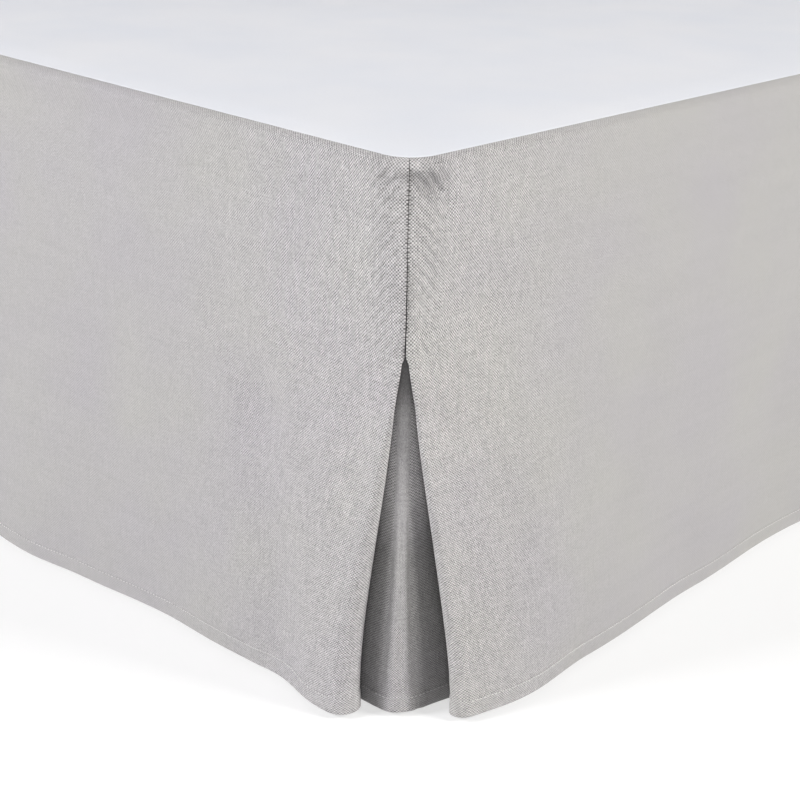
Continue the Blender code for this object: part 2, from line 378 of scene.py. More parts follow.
@dataclass(frozen=True)
class Flap:
    """How one side of a corner's pleat opens.

    opening is from the corner to the turned edge at the hem, roll_width and roll_depth are the
    turned edge's half sizes there, and settle is how much further in the return drops behind.
    """

    opening: float
    roll_width: float
    roll_depth: float
    settle: float

    def half_depth(self, z: float) -> float:
        """Half the space between the panel and its return."""
        return ROLL_AT_SEAM + (self.roll_depth - ROLL_AT_SEAM) * opened(z)

    def half_width(self, z: float) -> float:
        """How far the turned edge reaches past the roll's middle line."""
        return ROLL_AT_SEAM + (self.roll_width - ROLL_AT_SEAM) * opened(z)

    def edge(self, z: float) -> float:
        """Distance along the cloth from the corner's mitre to the turned edge."""
        closed = CLOTH / 2 + SEAM_GAP / 2
        share = 1.0 - (1.0 - opened(z) ** OPENING_START) ** OPENING_EASE
        fading = 1.0 - smooth(opened(z) / APEX_SPREAD_FADES)
        spread = APEX_SPREAD * smooth(opened(z) / APEX_SPREAD_OVER) * fading
        return closed + spread + (self.opening - closed) * share

    def settled(self, z: float, behind: float) -> float:
        """How much further in the return lies, some way behind its turned edge."""
        return self.settle * opened(z) * smooth(behind / RETURN_SETTLES_OVER)


def opened(z: float) -> float:
    """How far the pleat has opened at a height: 0 where the seam ends, 1 at the hem."""
    share = (SEAM_END - z) / (SEAM_END - HEM_CLEARANCE)
    return min(max(share, 0.0), 1.0)


def corner_radius(z: float) -> float:
    """The plan radius of a foot corner at a height."""
    down = smooth((BED.top - z) / SEAM_LENGTH)
    return CORNER_TOP_RADIUS + (CORNER_LOW_RADIUS - CORNER_TOP_RADIUS) * down


def round_corner(path: float, out: float, z: float) -> tuple[float, float]:
    """Carry a point round the corner's arc.

    Args:
        path: Distance along the cloth from the corner's mitre.
        out: Distance out from the deck's edge.
        z: Height above the floor.

    Returns:
        The point's places along and out from the corner.
    """
    radius = corner_radius(z)
    arc = radius * math.pi / 4
    if path < arc:
        turn = (arc - path) / radius
        reach = radius + out
        return radius - reach * math.sin(turn), reach * math.cos(turn) - radius
    return radius + path - arc, out


def cloth_height(z: float) -> float:
    """A place up the cloth, which counts the rolled top edge at its full length."""
    if z <= HANG_TOP:
        return z
    return HANG_TOP + EDGE_ROLL * math.asin(min((z - HANG_TOP) / EDGE_ROLL, 1.0))


@dataclass(frozen=True)
class Spot:
    """One point of a sheet: its place and what its finish needs to know there."""

    place: Vector
    uv: tuple[float, float]
    seam_pull: float = 0.0
    seam_drag: float = 0.0
    weave_shows: float = 1.0
    # How much painted shade darkens the cloth's colour at this point
    pleat_shade: float = 0.0
    hem_pull: float = 0.0
    hem: float = 0.0


SpotAt = Callable[[float], Spot]
Place = Callable[[float, float, float], Vector]


@dataclass(frozen=True)
class PanelCorner:
    """The cloth of a drop panel beside one foot corner, from its return to its front.

    cut_from is where the panel was cut from the roll of cloth, weave_over is the distance over
    which the weave fades from the corner, and weave_left is how much of it is left there.
    """

    flap: Flap
    hang: Hang
    place: Place
    cut_from: float
    weave_over: float
    weave_left: float
    mirrored_length: float | None = None

    def along_panel(self, along: float) -> float:
        """A distance from this corner, measured from the panel's own start."""
        if self.mirrored_length is None:
            return along
        return self.mirrored_length - along

    def cloth_place(self, column: float, z: float, behind: float = 0.0) -> float:
        """A place across the whole roll of cloth, which counts the corner's arc at its true length.

        Args:
            column: Distance along the front from the turned edge.
            z: Height above the floor.
            behind: Distance from the front's start, round the turned edge.

        Returns:
            The place across the cloth.
        """
        radius = corner_radius(z)
        on_arc = min(self.front_path(column, z), radius * math.pi / 4)
        shorter = EDGE_ROLL * (math.pi / 4 - on_arc / radius)
        return self.cut_from + self.along_panel(column - shorter - behind)

    def front_path(self, column: float, z: float) -> float:
        """Path of a front column: pushed aside near the pleat, upright further on."""
        far = smooth(column / EASE_REACH)
        start = self.flap.edge(z) + self.flap.half_width(z)
        straightened = corner_radius(z) * (1.0 - math.pi / 4)
        return column + start * (1.0 - far) - straightened * far

    def front(self, column: float, z: float, proud: float = 0.0) -> Vector:
        """A point on the front of the panel.

        Args:
            column: Distance along the cloth from the turned edge.
            z: Height above the floor.
            proud: Extra distance out from the cloth's middle.

        Returns:
            The point in the room.
        """
        path = self.front_path(column, z)
        along = round_corner(path, 0.0, z)[0]
        out = self.hang.surface(self.along_panel(along), z) + SEAM_GAP / 2 + proud
        along, out = round_corner(path, out, z)
        return self.place(along, out, z)

    def front_spot(self, column: float, z: float) -> Spot:
        """A point on the front with what the cloth's finish needs."""
        above = smooth((z - SEAM_END) / SEAM_PULL_FADES + 1.0)
        from_dimple = math.hypot(column - DIMPLE_ALONG, z - DIMPLE_HEIGHT)
        return Spot(
            place=self.front(column, z),
            uv=(self.cloth_place(column, z), cloth_height(z)),
            seam_pull=above * math.exp(-column / SEAM_PULL_REACH),
            seam_drag=above * lobe((column - DRAG_MIDDLE) / DRAG_REACH),
            weave_shows=1.0 - (1.0 - self.weave_left) * smooth(column / self.weave_over),
            # Painted shade in the dimple at the top of the corner seam
            pleat_shade=self.hang.top_shade * lobe(from_dimple / DIMPLE_REACH),
            hem_pull=lobe((z - HEM_LINE) / HEM_PULL_REACH),
            hem=1.0 if z <= HEM_LINE else 0.0,
        )

    def turned_spot(self, turn: float, behind: float, z: float) -> Spot:
        """A point on the turned edge or on the return behind it.

        Args:
            turn: Angle round the turned edge, from 0 at the front to pi at the back.
            behind: Distance of the return's cloth behind the turned edge.
            z: Height above the floor.

        Returns:
            The point with what the cloth's finish needs.
        """
        width = self.flap.half_width(z)
        depth = self.flap.half_depth(z)
        path = self.front_path(0.0, z) - width * math.sin(turn) + behind
        along = round_corner(max(path, 0.0), 0.0, z)[0]
        inward = depth * (1.0 - math.cos(turn)) + self.flap.settled(z, behind)
        upward = min(max((z - HANG_TOP) / EDGE_ROLL, 0.0), 1.0)
        out = self.hang.surface(self.along_panel(along), z) + SEAM_GAP / 2
        out -= inward * math.sqrt(1.0 - upward**2)
        along, out = round_corner(path, out, z)
        round_turn = (width + depth) / 2 * turn
        return Spot(
            place=self.place(along, out, z - inward * upward),
            uv=(self.cloth_place(0.0, z, round_turn + behind), cloth_height(z)),
            hem_pull=lobe((z - HEM_LINE) / HEM_PULL_REACH),
            hem=1.0 if z <= HEM_LINE else 0.0,
        )


def panel_heights() -> list[float]:
    """Heights of the rows of a panel, from its seam down to its hem, closest where it is sewn."""
    turn_steps = 7
    rows = []
    for step in range(turn_steps + 1):
        turn = 0.5 * math.pi * step / turn_steps
        rows.append(SHEET_TOP - EDGE_ROLL * (1.0 - math.cos(turn)))
    runs = graded(
        rows[-1],
        (RETURN_START, 0.0016),
        (BED.top - 0.030, 0.0021),
        (SEAM_END + 0.008, 0.0055),
        (SEAM_END, 0.0016),
        (SEAM_END - 0.012, 0.0015),
        (SEAM_END - 0.036, 0.0040),
        (HEM_LINE + 0.004, 0.0062),
        (HEM_LINE + 0.0003, 0.0009),
        (HEM_LINE - 0.0003, 0.0006),
        (HEM_LINE - 0.004, 0.0010),
        (HEM_CLEARANCE, 0.0021),
    )
    return rows + runs[1:]


def front_columns(length: float) -> list[float]:
    """Distances of the front columns from the turned edge up to a length, closest at the corner."""
    return graded(0.0, (0.020, 0.0015), (0.120, 0.0035), (0.450, 0.0055), (length, 0.0110))


def corner_strip(corner: PanelCorner, length: float) -> tuple[list[SpotAt], int]:
    """Columns from a return's inner edge, round the turn, to the panel's middle or far end.

    Args:
        corner: The panel's cloth beside the corner.
        length: How far the front runs from the turned edge.

    Returns:
        The columns, and how many of them belong to the return.
    """
    roll_steps = 14
    behinds = graded(0.0, (0.0045, 0.0015), (0.018, 0.0027), (RETURN_REACH, 0.0052))
    strip: list[SpotAt] = []
    for behind in reversed(behinds[1:]):
        strip.append(lambda z, b=behind: corner.turned_spot(math.pi, b, z))
    returned = len(strip)
    for step in range(roll_steps, 0, -1):
        turn = math.pi * step / roll_steps
        strip.append(lambda z, t=turn: corner.turned_spot(t, 0.0, z))
    for column in front_columns(length):
        strip.append(lambda z, c=column: corner.front_spot(c, z))
    return strip, returned


class SheetBuilder:
    """Builds a cloth sheet from a grid whose columns give a spot at each height."""

    def __init__(self, columns: Sequence[SpotAt], rows: Sequence[float]) -> None:
        """Keep the grid's columns and rows.

        Args:
            columns: A function of height for each column.
            rows: The heights, from the top down.
        """
        self.columns = columns
        self.rows = rows

    def build(
        self,
        name: str,
        is_cut: Callable[[float, float], bool] | None = None,
    ) -> bpy.types.Object:
        """Make the sheet's mesh with its UV map, its attributes and its hem's vertex group.

        Args:
            name: The piece's name.
            is_cut: Says by a face's middle column and row whether it is left away.

        Returns:
            The sheet as an object.
        """
        across = len(self.columns) - 1
        down = len(self.rows) - 1
        bm = bmesh.new()
        bmesh.ops.create_grid(bm, x_segments=across, y_segments=down, size=1.0)
        uv_layer = bm.loops.layers.uv.new(CLOTH_UV)
        for word in SPOT_VALUES:
            bm.verts.layers.float.new(word)
        value_layers = {word: bm.verts.layers.float[word] for word in SPOT_VALUES}
        weight_layer = bm.verts.layers.deform.verify()
        cells = {}
        for vert in bm.verts:
            cells[vert] = (round((vert.co.x + 1) / 2 * across), round((1 - vert.co.y) / 2 * down))
        if is_cut is not None:
            cut = [face for face in bm.faces if is_cut(*self._middle(face, cells))]
            bmesh.ops.delete(bm, geom=cut, context="FACES")
        uvs = {}
        for vert in bm.verts:
            column, row = cells[vert]
            spot = self.columns[column](self.rows[row])
            vert.co = spot.place
            for word, layer in value_layers.items():
                vert[layer] = getattr(spot, word)
            vert[weight_layer][0] = spot.hem
            uvs[vert] = spot.uv
        for face in bm.faces:
            face.smooth = True
            for loop in face.loops:
                loop[uv_layer].uv = uvs[loop.vert]
        mesh = bpy.data.meshes.new(name)
        bm.to_mesh(mesh)
        bm.free()
        obj = bpy.data.objects.new(name, mesh)
        bpy.context.scene.collection.objects.link(obj)
        obj.vertex_groups.new(name=HEM_GROUP)
        return obj

    @staticmethod
    def _middle(face: bmesh.types.BMFace, cells: dict) -> tuple[float, float]:
        """Middle column and row of a grid face."""
        corners = [cells[vert] for vert in face.verts]
        column = sum(corner[0] for corner in corners) / len(corners)
        row = sum(corner[1] for corner in corners) / len(corners)
        return column, row


def give_thickness(obj: bpy.types.Object, cloth: float, hem: float, offset: float = 0.0) -> None:
    """Give a sheet its thickness, more where its hem is turned up, and soft cut edges.

    Args:
        obj: The sheet.
        cloth: Thickness of the single cloth.
        hem: Thickness within the hem's vertex group.
        offset: Where the thickness goes: 0 both ways, -1 below the face.
    """
    wall = obj.modifiers.new("cloth", "SOLIDIFY")
    wall.thickness = hem
    wall.offset = offset
    wall.use_even_offset = True
    wall.vertex_group = HEM_GROUP
    wall.thickness_vertex_group = cloth / hem
    edges = obj.modifiers.new("soft_edges", "BEVEL")
    edges.width = cloth * 0.35
    edges.segments = 2
    edges.profile = 0.5
    edges.limit_method = "ANGLE"
    edges.angle_limit = math.radians(55)
    edges.use_clamp_overlap = True


def object_from(bm: bmesh.types.BMesh, name: str) -> bpy.types.Object:
    """Turn a bmesh into a smooth-shaded object at the origin.

    Args:
        bm: The finished bmesh; it is freed.
        name: The piece's name.

    Returns:
        The new object.
    """
    mesh = bpy.data.meshes.new(name)
    bm.to_mesh(mesh)
    bm.free()
    mesh.shade_smooth()
    obj = bpy.data.objects.new(name, mesh)
    bpy.context.scene.collection.objects.link(obj)
    return obj


def settle_piece(
    obj: bpy.types.Object,
    material: bpy.types.Material,
    replaced: Iterable[str] = (),
) -> bpy.types.Object:
    """Dress a piece, let it ride on the body and report it.

    Args:
        obj: The piece.
        material: Its finish.
        replaced: Names of the frame's nodes that the piece stands for.

    Returns:
        The same piece.
    """
    obj.data.materials.clear()
    obj.data.materials.append(material)
    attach(obj, BODY)
    names = list(replaced)
    if names:
        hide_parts(*names)
    LOG.info("%s: %d faces", obj.name, len(obj.data.polygons))
    return obj


SocketValue = Union[float, Sequence[float], "Value", bpy.types.NodeSocket]


class Value:
    """A number worked out by nodes, so that shader maths reads as a Python expression."""

    def __init__(self, bench: "Bench", socket: bpy.types.NodeSocket) -> None:
        """Wrap an output socket of one of the bench's nodes."""
        self.bench = bench
        self.socket = socket

    def _maths(self, operation: str, *terms: SocketValue) -> "Value":
        """Add a Math node with these terms."""
        node = self.bench.node("ShaderNodeMath", {"operation": operation}, dict(enumerate(terms)))
        return Value(self.bench, node.outputs[0])

    def __add__(self, other: SocketValue) -> "Value":
        """This value plus another."""
        return self._maths("ADD", self, other)

    __radd__ = __add__

    def __sub__(self, other: SocketValue) -> "Value":
        """This value less another."""
        return self._maths("SUBTRACT", self, other)

    def __rsub__(self, other: SocketValue) -> "Value":
        """Another value less this one."""
        return self._maths("SUBTRACT", other, self)

    def __mul__(self, other: SocketValue) -> "Value":
        """This value times another."""
        return self._maths("MULTIPLY", self, other)

    __rmul__ = __mul__

    def __truediv__(self, other: SocketValue) -> "Value":
        """This value over another."""
        return self._maths("DIVIDE", self, other)

    def sine(self) -> "Value":
        """The sine of this value."""
        return self._maths("SINE", self)

    def size(self) -> "Value":
        """This value without its sign."""
        return self._maths("ABSOLUTE", self)

    def whole(self) -> "Value":
        """The whole number at or below this value."""
        return self._maths("FLOOR", self)

    def held(self, low: float = 0.0, high: float = 1.0) -> "Value":
        """This value held between two ends."""
        above = self._maths("MAXIMUM", self, low)
        return above._maths("MINIMUM", above, high)

    def toward(self, other: "Value", share: "Value") -> "Value":
        """This value blended into another by a share from 0 to 1."""
        return self + (other - self) * share


class Bench:
    """Lays out the nodes of a material or of the world."""

    def __init__(self, owner: Union[bpy.types.Material, bpy.types.World]) -> None:
        """Work on the owner's nodes."""
        owner.use_nodes = True
        self.tree = owner.node_tree

    def node(
        self,
        kind: str,
        settings: dict[str, object] | None = None,
        sockets: dict[Union[int, str], SocketValue] | None = None,
    ) -> bpy.types.Node:
        """Add a node.

        Args:
            kind: The node's type.
            settings: Its own settings.
            sockets: Values or links for its inputs, by name or number.

        Returns:
            The node.
        """
        node = self.tree.nodes.new(kind)
        for name, setting in (settings or {}).items():
            setattr(node, name, setting)
        for name, value in (sockets or {}).items():
            self.feed(node.inputs[name], value)
        return node

    def feed(self, socket: bpy.types.NodeSocket, value: SocketValue) -> None:
        """Set an input's value, or link it to what gives it."""
        if isinstance(value, Value):
            value = value.socket
        if isinstance(value, bpy.types.NodeSocket):
            self.tree.links.new(value, socket)
        elif socket.type == "RGBA" and len(value) == 3:
            socket.default_value = (*value, 1.0)
        else:
            socket.default_value = value

    def uv(self) -> tuple[Value, Value]:
        """The two places of a point in the cloth's own UV map, in metres."""
        place = self.node("ShaderNodeUVMap", {"uv_map": CLOTH_UV})
        parts = self.node("ShaderNodeSeparateXYZ", sockets={0: place.outputs[0]})
        return Value(self, parts.outputs[0]), Value(self, parts.outputs[1])

    def place(self, space: str = "Object") -> tuple[Value, Value, Value]:
        """The three places of a point in one of the Texture Coordinate node's spaces."""
        place = self.node("ShaderNodeTexCoord")
        parts = self.node("ShaderNodeSeparateXYZ", sockets={0: place.outputs[space]})
        return tuple(Value(self, parts.outputs[index]) for index in range(3))

    def attribute(self, name: str) -> Value:
        """A number kept at the points of the mesh."""
        node = self.node("ShaderNodeAttribute", {"attribute_name": name})
        return Value(self, node.outputs["Fac"])

    def joined(self, x: SocketValue, y: SocketValue, z: SocketValue = 0.0) -> bpy.types.NodeSocket:
        """Three numbers as one vector."""
        return self.node("ShaderNodeCombineXYZ", sockets={0: x, 1: y, 2: z}).outputs[0]

    def noise(
        self,
        vector: bpy.types.NodeSocket,
        scale: float = 1.0,
        detail: float = 0.0,
        roughness: float = 0.5,
    ) -> Value:
        """Soft noise about zero.

        Args:
            vector: Where it is read.
            scale: How many bumps there are in one unit.
            detail: How many finer layers are added.
            roughness: How strong the finer layers are.

        Returns:
            The noise, from about -0.5 to 0.5.
        """
        sockets = {"Vector": vector, "Scale": scale, "Detail": detail, "Roughness": roughness}
        node = self.node("ShaderNodeTexNoise", {"noise_dimensions": "3D"}, sockets)
        return Value(self, node.outputs[0]) - 0.5

    def random(self, vector: bpy.types.NodeSocket) -> Value:
        """An even random number from -0.5 to 0.5 for each whole place."""
        node = self.node("ShaderNodeTexWhiteNoise", {"noise_dimensions": "2D"}, {"Vector": vector})
        return Value(self, node.outputs["Value"]) - 0.5

    def mixed(
        self, share: SocketValue, start: SocketValue, end: SocketValue
    ) -> bpy.types.NodeSocket:
        """A blend of two colours."""
        settings = {"data_type": "RGBA", "clamp_factor": True}
        return self.node("ShaderNodeMix", settings, {0: share, 6: start, 7: end}).outputs[2]

    def scaled(self, colour: SocketValue, share: SocketValue) -> bpy.types.NodeSocket:
        """A colour made lighter or darker."""
        sockets = {0: colour, "Scale": share}
        return self.node("ShaderNodeVectorMath", {"operation": "SCALE"}, sockets).outputs[0]

    def bump(
        self,
        height: Value,
        distance: float,
        over: bpy.types.NodeSocket | None = None,
    ) -> bpy.types.NodeSocket:
        """A normal tilted by a height.

        Args:
            height: The height, from 0 to 1.
            distance: The full height in metres.
            over: A finer bump's normal that this one is laid over.

        Returns:
            The normal.
        """
        sockets = {"Height": height, "Distance": distance, "Strength": 1.0}
        if over is not None:
            sockets["Normal"] = over
        return self.node("ShaderNodeBump", sockets=sockets).outputs[0]


class Finish(Bench):
    """The nodes of one surface's material."""

    def __init__(self, name: str) -> None:
        """Start a material with a Principled shader."""
        self.material = bpy.data.materials.new(name)
        super().__init__(self.material)
        self.shader = self.tree.nodes["Principled BSDF"]

    def dress(self, **inputs: SocketValue) -> bpy.types.Material:
        """Feed the Principled shader, with underscores for the spaces of its inputs' names.

        Returns:
            The finished material.
        """
        for name, value in inputs.items():
            self.feed(self.shader.inputs[name.replace("_", " ")], value)
        return self.material


@dataclass(frozen=True)
class SkirtLinen:
    """A plain weave of light warp and greyer weft, with slubs and a dry hand.

    thread is the distance from one thread to the next, and wander is how far it strays. parity
    is how much the warp stands out from the weft in tone, warp_tone and weft_tone are how much
    threads differ along their run, melange is how much crossings differ, slub and cloud are how
    much broader streaks and patches differ, and shade is the whole cloth's lightness, lowered
    for the inserts' linen as painted shade. run_scale and thread_scale are how fast the tone
    changes along a thread and from thread to thread.
    The pull fields are for the puckers that stitches pull beside the corner seam and the hem.
    """

    name: str = "grey_skirt_linen"
    shade: float = 1.0
    thread: float = 0.00099
    cool: Colour = (0.419, 0.405, 0.416)
    warm: Colour = (0.424, 0.416, 0.403)
    parity: float = 0.80
    warp_tone: float = 0.42
    weft_tone: float = 0.28
    melange: float = 0.36
    run_scale: float = 60.0
    thread_scale: float = 3.7
    slub: float = 0.06
    slub_scale: tuple[float, float] = (7.0, 120.0)
    cloud: float = 0.05
    cloud_scale: float = 9.0
    wander: float = 0.0021
    wander_scale: float = 60.0
    weave_height: float = 0.00018
    pull_height: float = 0.0005
    pull_at_seam: float = 0.3
    pull_at_hem: float = 0.15
    pull_scale: float = 140.0
    pull_uneven: float = 3.0
    roughness: float = 0.92

    def material(self) -> bpy.types.Material:
        """Build the finish.

        Returns:
            The material of the panels and inserts.
        """
        bench = Finish(self.name)
        u, v = bench.uv()
        cloth = bench.joined(u, v)
        wander = bench.noise(cloth, scale=self.wander_scale, detail=2.0)
        sway = bench.noise(bench.joined(v, u, 3.0), scale=self.wander_scale, detail=2.0)
        across = (u + wander * self.wander) / self.thread
        down = (v + sway * self.wander) / self.thread
        warp_wave = (across * math.pi).sine()
        weft_wave = (down * math.pi).sine()
        over = warp_wave * weft_wave
        warp_on_top = (over * 2.2 + 0.5).held()
        warp_place = bench.joined(across.whole() * self.thread_scale, v * self.run_scale)
        weft_place = bench.joined(u * self.run_scale, down.whole() * self.thread_scale, 9.0)
        warp = bench.noise(warp_place, detail=1.0)
        weft = bench.noise(weft_place, detail=1.0)
        fleck = bench.random(bench.joined(across.whole(), down.whole())) * self.melange
        cloud = bench.noise(cloth, scale=self.cloud_scale, detail=2.0)
        slub_across, slub_down = self.slub_scale
        slub = bench.noise(bench.joined(u * slub_across, v * slub_down, 5.0), detail=1.0)
        thread_tone = (weft * self.weft_tone).toward(warp * self.warp_tone, warp_on_top)
        contrast = (warp_on_top - 0.5) * self.parity + thread_tone * 2.0 + fleck
        tone = 1.0 + contrast * bench.attribute(WEAVE_SHOWS) + cloud * self.cloud + slub * self.slub
        tint = bench.mixed((cloud * 2.5 + 0.5).held(), self.cool, self.warm)
        weave = weft_wave.size().toward(warp_wave.size(), warp_on_top)
        height = weave * 0.7 + over.size() * 0.3 + thread_tone + fleck * 0.15
        weave_normal = bench.bump(height, self.weave_height)
        # Painted shade: the shade kept at the mesh's points darkens the colour in the pleat and
        # dimple
        share_left_by_painted_shade = 1.0 - bench.attribute(PAINTED_SHADE)
        return bench.dress(
            Base_Color=bench.scaled(tint, tone * self.shade * share_left_by_painted_shade),
            Roughness=self.roughness,
            Sheen_Weight=0.10,
            Sheen_Roughness=0.6,
            Specular_IOR_Level=0.15,
            Normal=bench.bump(self._stitch_pull(bench, u, v), self.pull_height, weave_normal),
        )

    def _stitch_pull(self, bench: Bench, u: Value, v: Value) -> Value:
        """Height of the small puckers that stitches pull beside the corner seam and the hem."""
        seam = (v * (2 * math.pi / SEAM_STITCH)).sine() * bench.attribute(SEAM_PULL)
        hem = (u * (2 * math.pi / HEM_STITCH)).sine() * bench.attribute(HEM_PULL)
        uneven = bench.noise(bench.joined(u, v), scale=self.pull_scale) * self.pull_uneven
        drag = ((v + u) * (2 * math.pi / DRAG_STEP) + uneven).sine() * bench.attribute(SEAM_DRAG)
        return seam * self.pull_at_seam + hem * self.pull_at_hem + drag


@dataclass(frozen=True)
class DeckCloth:
    """Fine white cloth with soft patches of painted blue shade, placed at random."""

    thread: float = 0.0004
    cool: Colour = (0.735, 0.754, 0.800)
    plain: Colour = (0.770, 0.780, 0.812)
    roughness: float = 0.9

    def material(self) -> bpy.types.Material:
        """Build the finish.

        Returns:
            The material of the deck.
        """
        bench = Finish("white_deck_cloth")
        x, y, _ = bench.place()
        place = bench.joined(x, y)
        cloud = bench.noise(place, scale=11.0, detail=2.0)
        fleck = bench.noise(place, scale=700.0, detail=1.0)
        warp = (x * (math.pi / self.thread)).sine()
        weft = (y * (math.pi / self.thread)).sine()
        weave = warp * weft * 0.5 + 0.5
        # Painted shade: blue patches by noise, placed at random
        tint = bench.mixed((cloud * 2.6 + 0.5).held(), self.cool, self.plain)
        tone = 1.0 + fleck * 0.05 + weave * 0.02
        return bench.dress(
            Base_Color=bench.scaled(tint, tone),
            Roughness=self.roughness,
            Specular_IOR_Level=0.2,
            Normal=bench.bump(weave + fleck, 0.00006),
        )


@dataclass(frozen=True)
class Thread:
    """Twisted sewing thread in one colour."""

    name: str
    colour: Colour
    twist: float = 0.0005

    def material(self) -> bpy.types.Material:
        """Build the finish.

        Returns:
            The material of a row of stitches.
        """
        bench = Finish(self.name)
        x, y, z = bench.place()
        ply = ((x + y + z) * (2 * math.pi / self.twist)).sine()
        tone = 0.97 + ply * 0.06
        return bench.dress(
            Base_Color=bench.scaled(self.colour, tone),
            Roughness=0.7,
            Specular_IOR_Level=0.3,
            Normal=bench.bump(ply, 0.00008),
        )


@dataclass(frozen=True)
class BaseCover:
    """Pale woven ticking, pulled tight over the base."""

    thread: float = 0.0011
    colour: Colour = (0.60, 0.585, 0.56)
    roughness: float = 0.9

    def material(self) -> bpy.types.Material:
        """Build the finish.

        Returns:
            The material of the base's box.
        """
        bench = Finish("pale_base_cover")
        x, y, z = bench.place()
        along = (x + y) / self.thread
        up = (z + y * 0.5) / self.thread
        warp = (along * math.pi).sine()
        weft = (up * math.pi).sine()
        over = (warp * weft * 2.0 + 0.5).held()
        place = bench.joined(x, y, z)
        fleck = bench.noise(place, scale=500.0, detail=1.0)
        cloud = bench.noise(place, scale=6.0, detail=2.0)
        tone = 0.97 + over * 0.06 + fleck * 0.12 + cloud * 0.06
        return bench.dress(
            Base_Color=bench.scaled(self.colour, tone),
            Roughness=self.roughness,
            Specular_IOR_Level=0.2,
            Normal=bench.bump(over + fleck, 0.00015),
        )


@dataclass(frozen=True)
class LegWood:
    """Brown stained wood with upright grain under a thin satin lacquer."""

    light: Colour = (0.30, 0.185, 0.105)
    dark: Colour = (0.15, 0.085, 0.045)
    roughness: float = 0.42

    def material(self) -> bpy.types.Material:
        """Build the finish.

        Returns:
            The material of the legs.
        """
        bench = Finish("stained_leg_wood")
        x, y, z = bench.place()
        stretched = bench.joined(x, y, z * 0.06)
        figure = bench.noise(stretched, scale=38.0, detail=3.0, roughness=0.6)
        rings = ((figure * 26.0) + x * 90.0).sine() * 0.5 + 0.5
        pores = bench.noise(bench.joined(x, y, z * 0.03), scale=900.0, detail=1.0)
        share = (rings * 0.55 + figure + pores * 0.5 + 0.2).held()
        return bench.dress(
            Base_Color=bench.mixed(share, self.dark, self.light),
            Roughness=(self.roughness + pores * 0.25).held(0.2, 0.8),
            Normal=bench.bump(pores + rings * 0.2, 0.00012),
        )


@dataclass(frozen=True)
class StudioFloor:
    """A white floor that is itself softly lit, so that it stays white under the skirt."""

    colour: Colour = (0.40, 0.40, 0.40)
    glow: float = 0.60

    def material(self) -> bpy.types.Material:
        """Build the finish.

        Returns:
            The material of the floor.
        """
        bench = Finish("white_studio_floor")
        x, y, _ = bench.place()
        speck = bench.noise(bench.joined(x, y), scale=40.0, detail=2.0)
        return bench.dress(
            Base_Color=bench.scaled(self.colour, 1.0 + speck * 0.01),
            Roughness=0.85,
            Emission_Color=(1.0, 1.0, 1.0),
            Emission_Strength=self.glow,
        )


FOOT_FOLDS = (
    Fold(along=0.072, lean=0.012, width=0.050, out=0.001, start=0.30),
    Fold(along=0.125, lean=0.045, width=0.070, out=-0.003, start=0.25),
    Fold(along=0.400, lean=-0.020, width=0.190, out=0.022, start=0.08),
    Fold(along=0.600, lean=0.015, width=0.110, out=-0.004, start=0.20),
    Fold(along=0.775, lean=0.030, width=0.150, out=0.010, start=0.12),
    Fold(along=0.950, lean=-0.020, width=0.100, out=-0.003, start=0.30),
    Fold(along=1.135, lean=-0.010, width=0.180, out=0.017, start=0.10),
    Fold(along=1.350, lean=-0.030, width=0.085, out=-0.004, start=0.28),
)
SIDE_FOLDS = (
    Fold(along=0.100, lean=0.025, width=0.075, out=0.008, start=0.25),
    Fold(along=0.170, lean=0.010, width=0.150, out=0.008, start=0.10),
    Fold(along=0.430, lean=-0.030, width=0.120, out=-0.006, start=0.15),
    Fold(along=0.640, lean=0.020, width=0.160, out=0.010, start=0.10),
    Fold(along=0.860, lean=-0.015, width=0.100, out=-0.003, start=0.25),
    Fold(along=1.090, lean=0.025, width=0.175, out=0.013, start=0.08),
    Fold(along=1.340, lean=-0.020, width=0.110, out=-0.004, start=0.22),
    Fold(along=1.570, lean=0.010, width=0.150, out=0.009, start=0.15),
    Fold(along=1.840, lean=0.015, width=0.140, out=0.006, start=0.20),
)

# Creases as seen beside the pleat, then a few like them on the rest of each panel.
# Columns: along_from, z_from, along_to, z_to, width, out.
FOOT_CREASES = (
    Crease(0.162, 0.262, 0.124, 0.201, 0.034, -0.0032),
    Crease(0.124, 0.201, 0.110, 0.022, 0.036, -0.0042),
    Crease(0.062, 0.215, 0.072, 0.020, 0.030, 0.0014),
    Crease(0.150, 0.354, 0.420, 0.350, 0.030, -0.0030),
    Crease(0.006, 0.266, 0.030, 0.256, 0.006, 0.0006),
    Crease(0.245, 0.330, 0.240, 0.060, 0.055, 0.0014),
    Crease(0.330, 0.040, 0.335, 0.002, 0.045, -0.0016),
    Crease(0.003, 0.368, 0.014, 0.368, 0.007, -0.0026),
    Crease(0.016, 0.366, 0.042, 0.366, 0.006, -0.0006),
    Crease(0.010, 0.262, 0.064, 0.214, 0.007, -0.0004),
    Crease(0.020, 0.268, 0.085, 0.246, 0.008, -0.0004),
    Crease(0.002, 0.2672, 0.012, 0.2664, 0.0022, -0.0006),
    Crease(0.520, 0.330, 0.500, 0.100, 0.045, -0.0013),
    Crease(0.690, 0.300, 0.715, 0.060, 0.050, 0.0014),
    Crease(0.860, 0.240, 0.885, 0.030, 0.040, -0.0013),
    Crease(1.040, 0.340, 1.020, 0.120, 0.050, -0.0012),
    Crease(1.270, 0.290, 1.255, 0.060, 0.055, 0.0013),
    Crease(1.400, 0.235, 1.412, 0.025, 0.028, -0.0013),
    Crease(1.455, 0.210, 1.442, 0.025, 0.026, 0.0010),
    Crease(1.488, 0.366, 1.520, 0.367, 0.006, -0.0008),
)
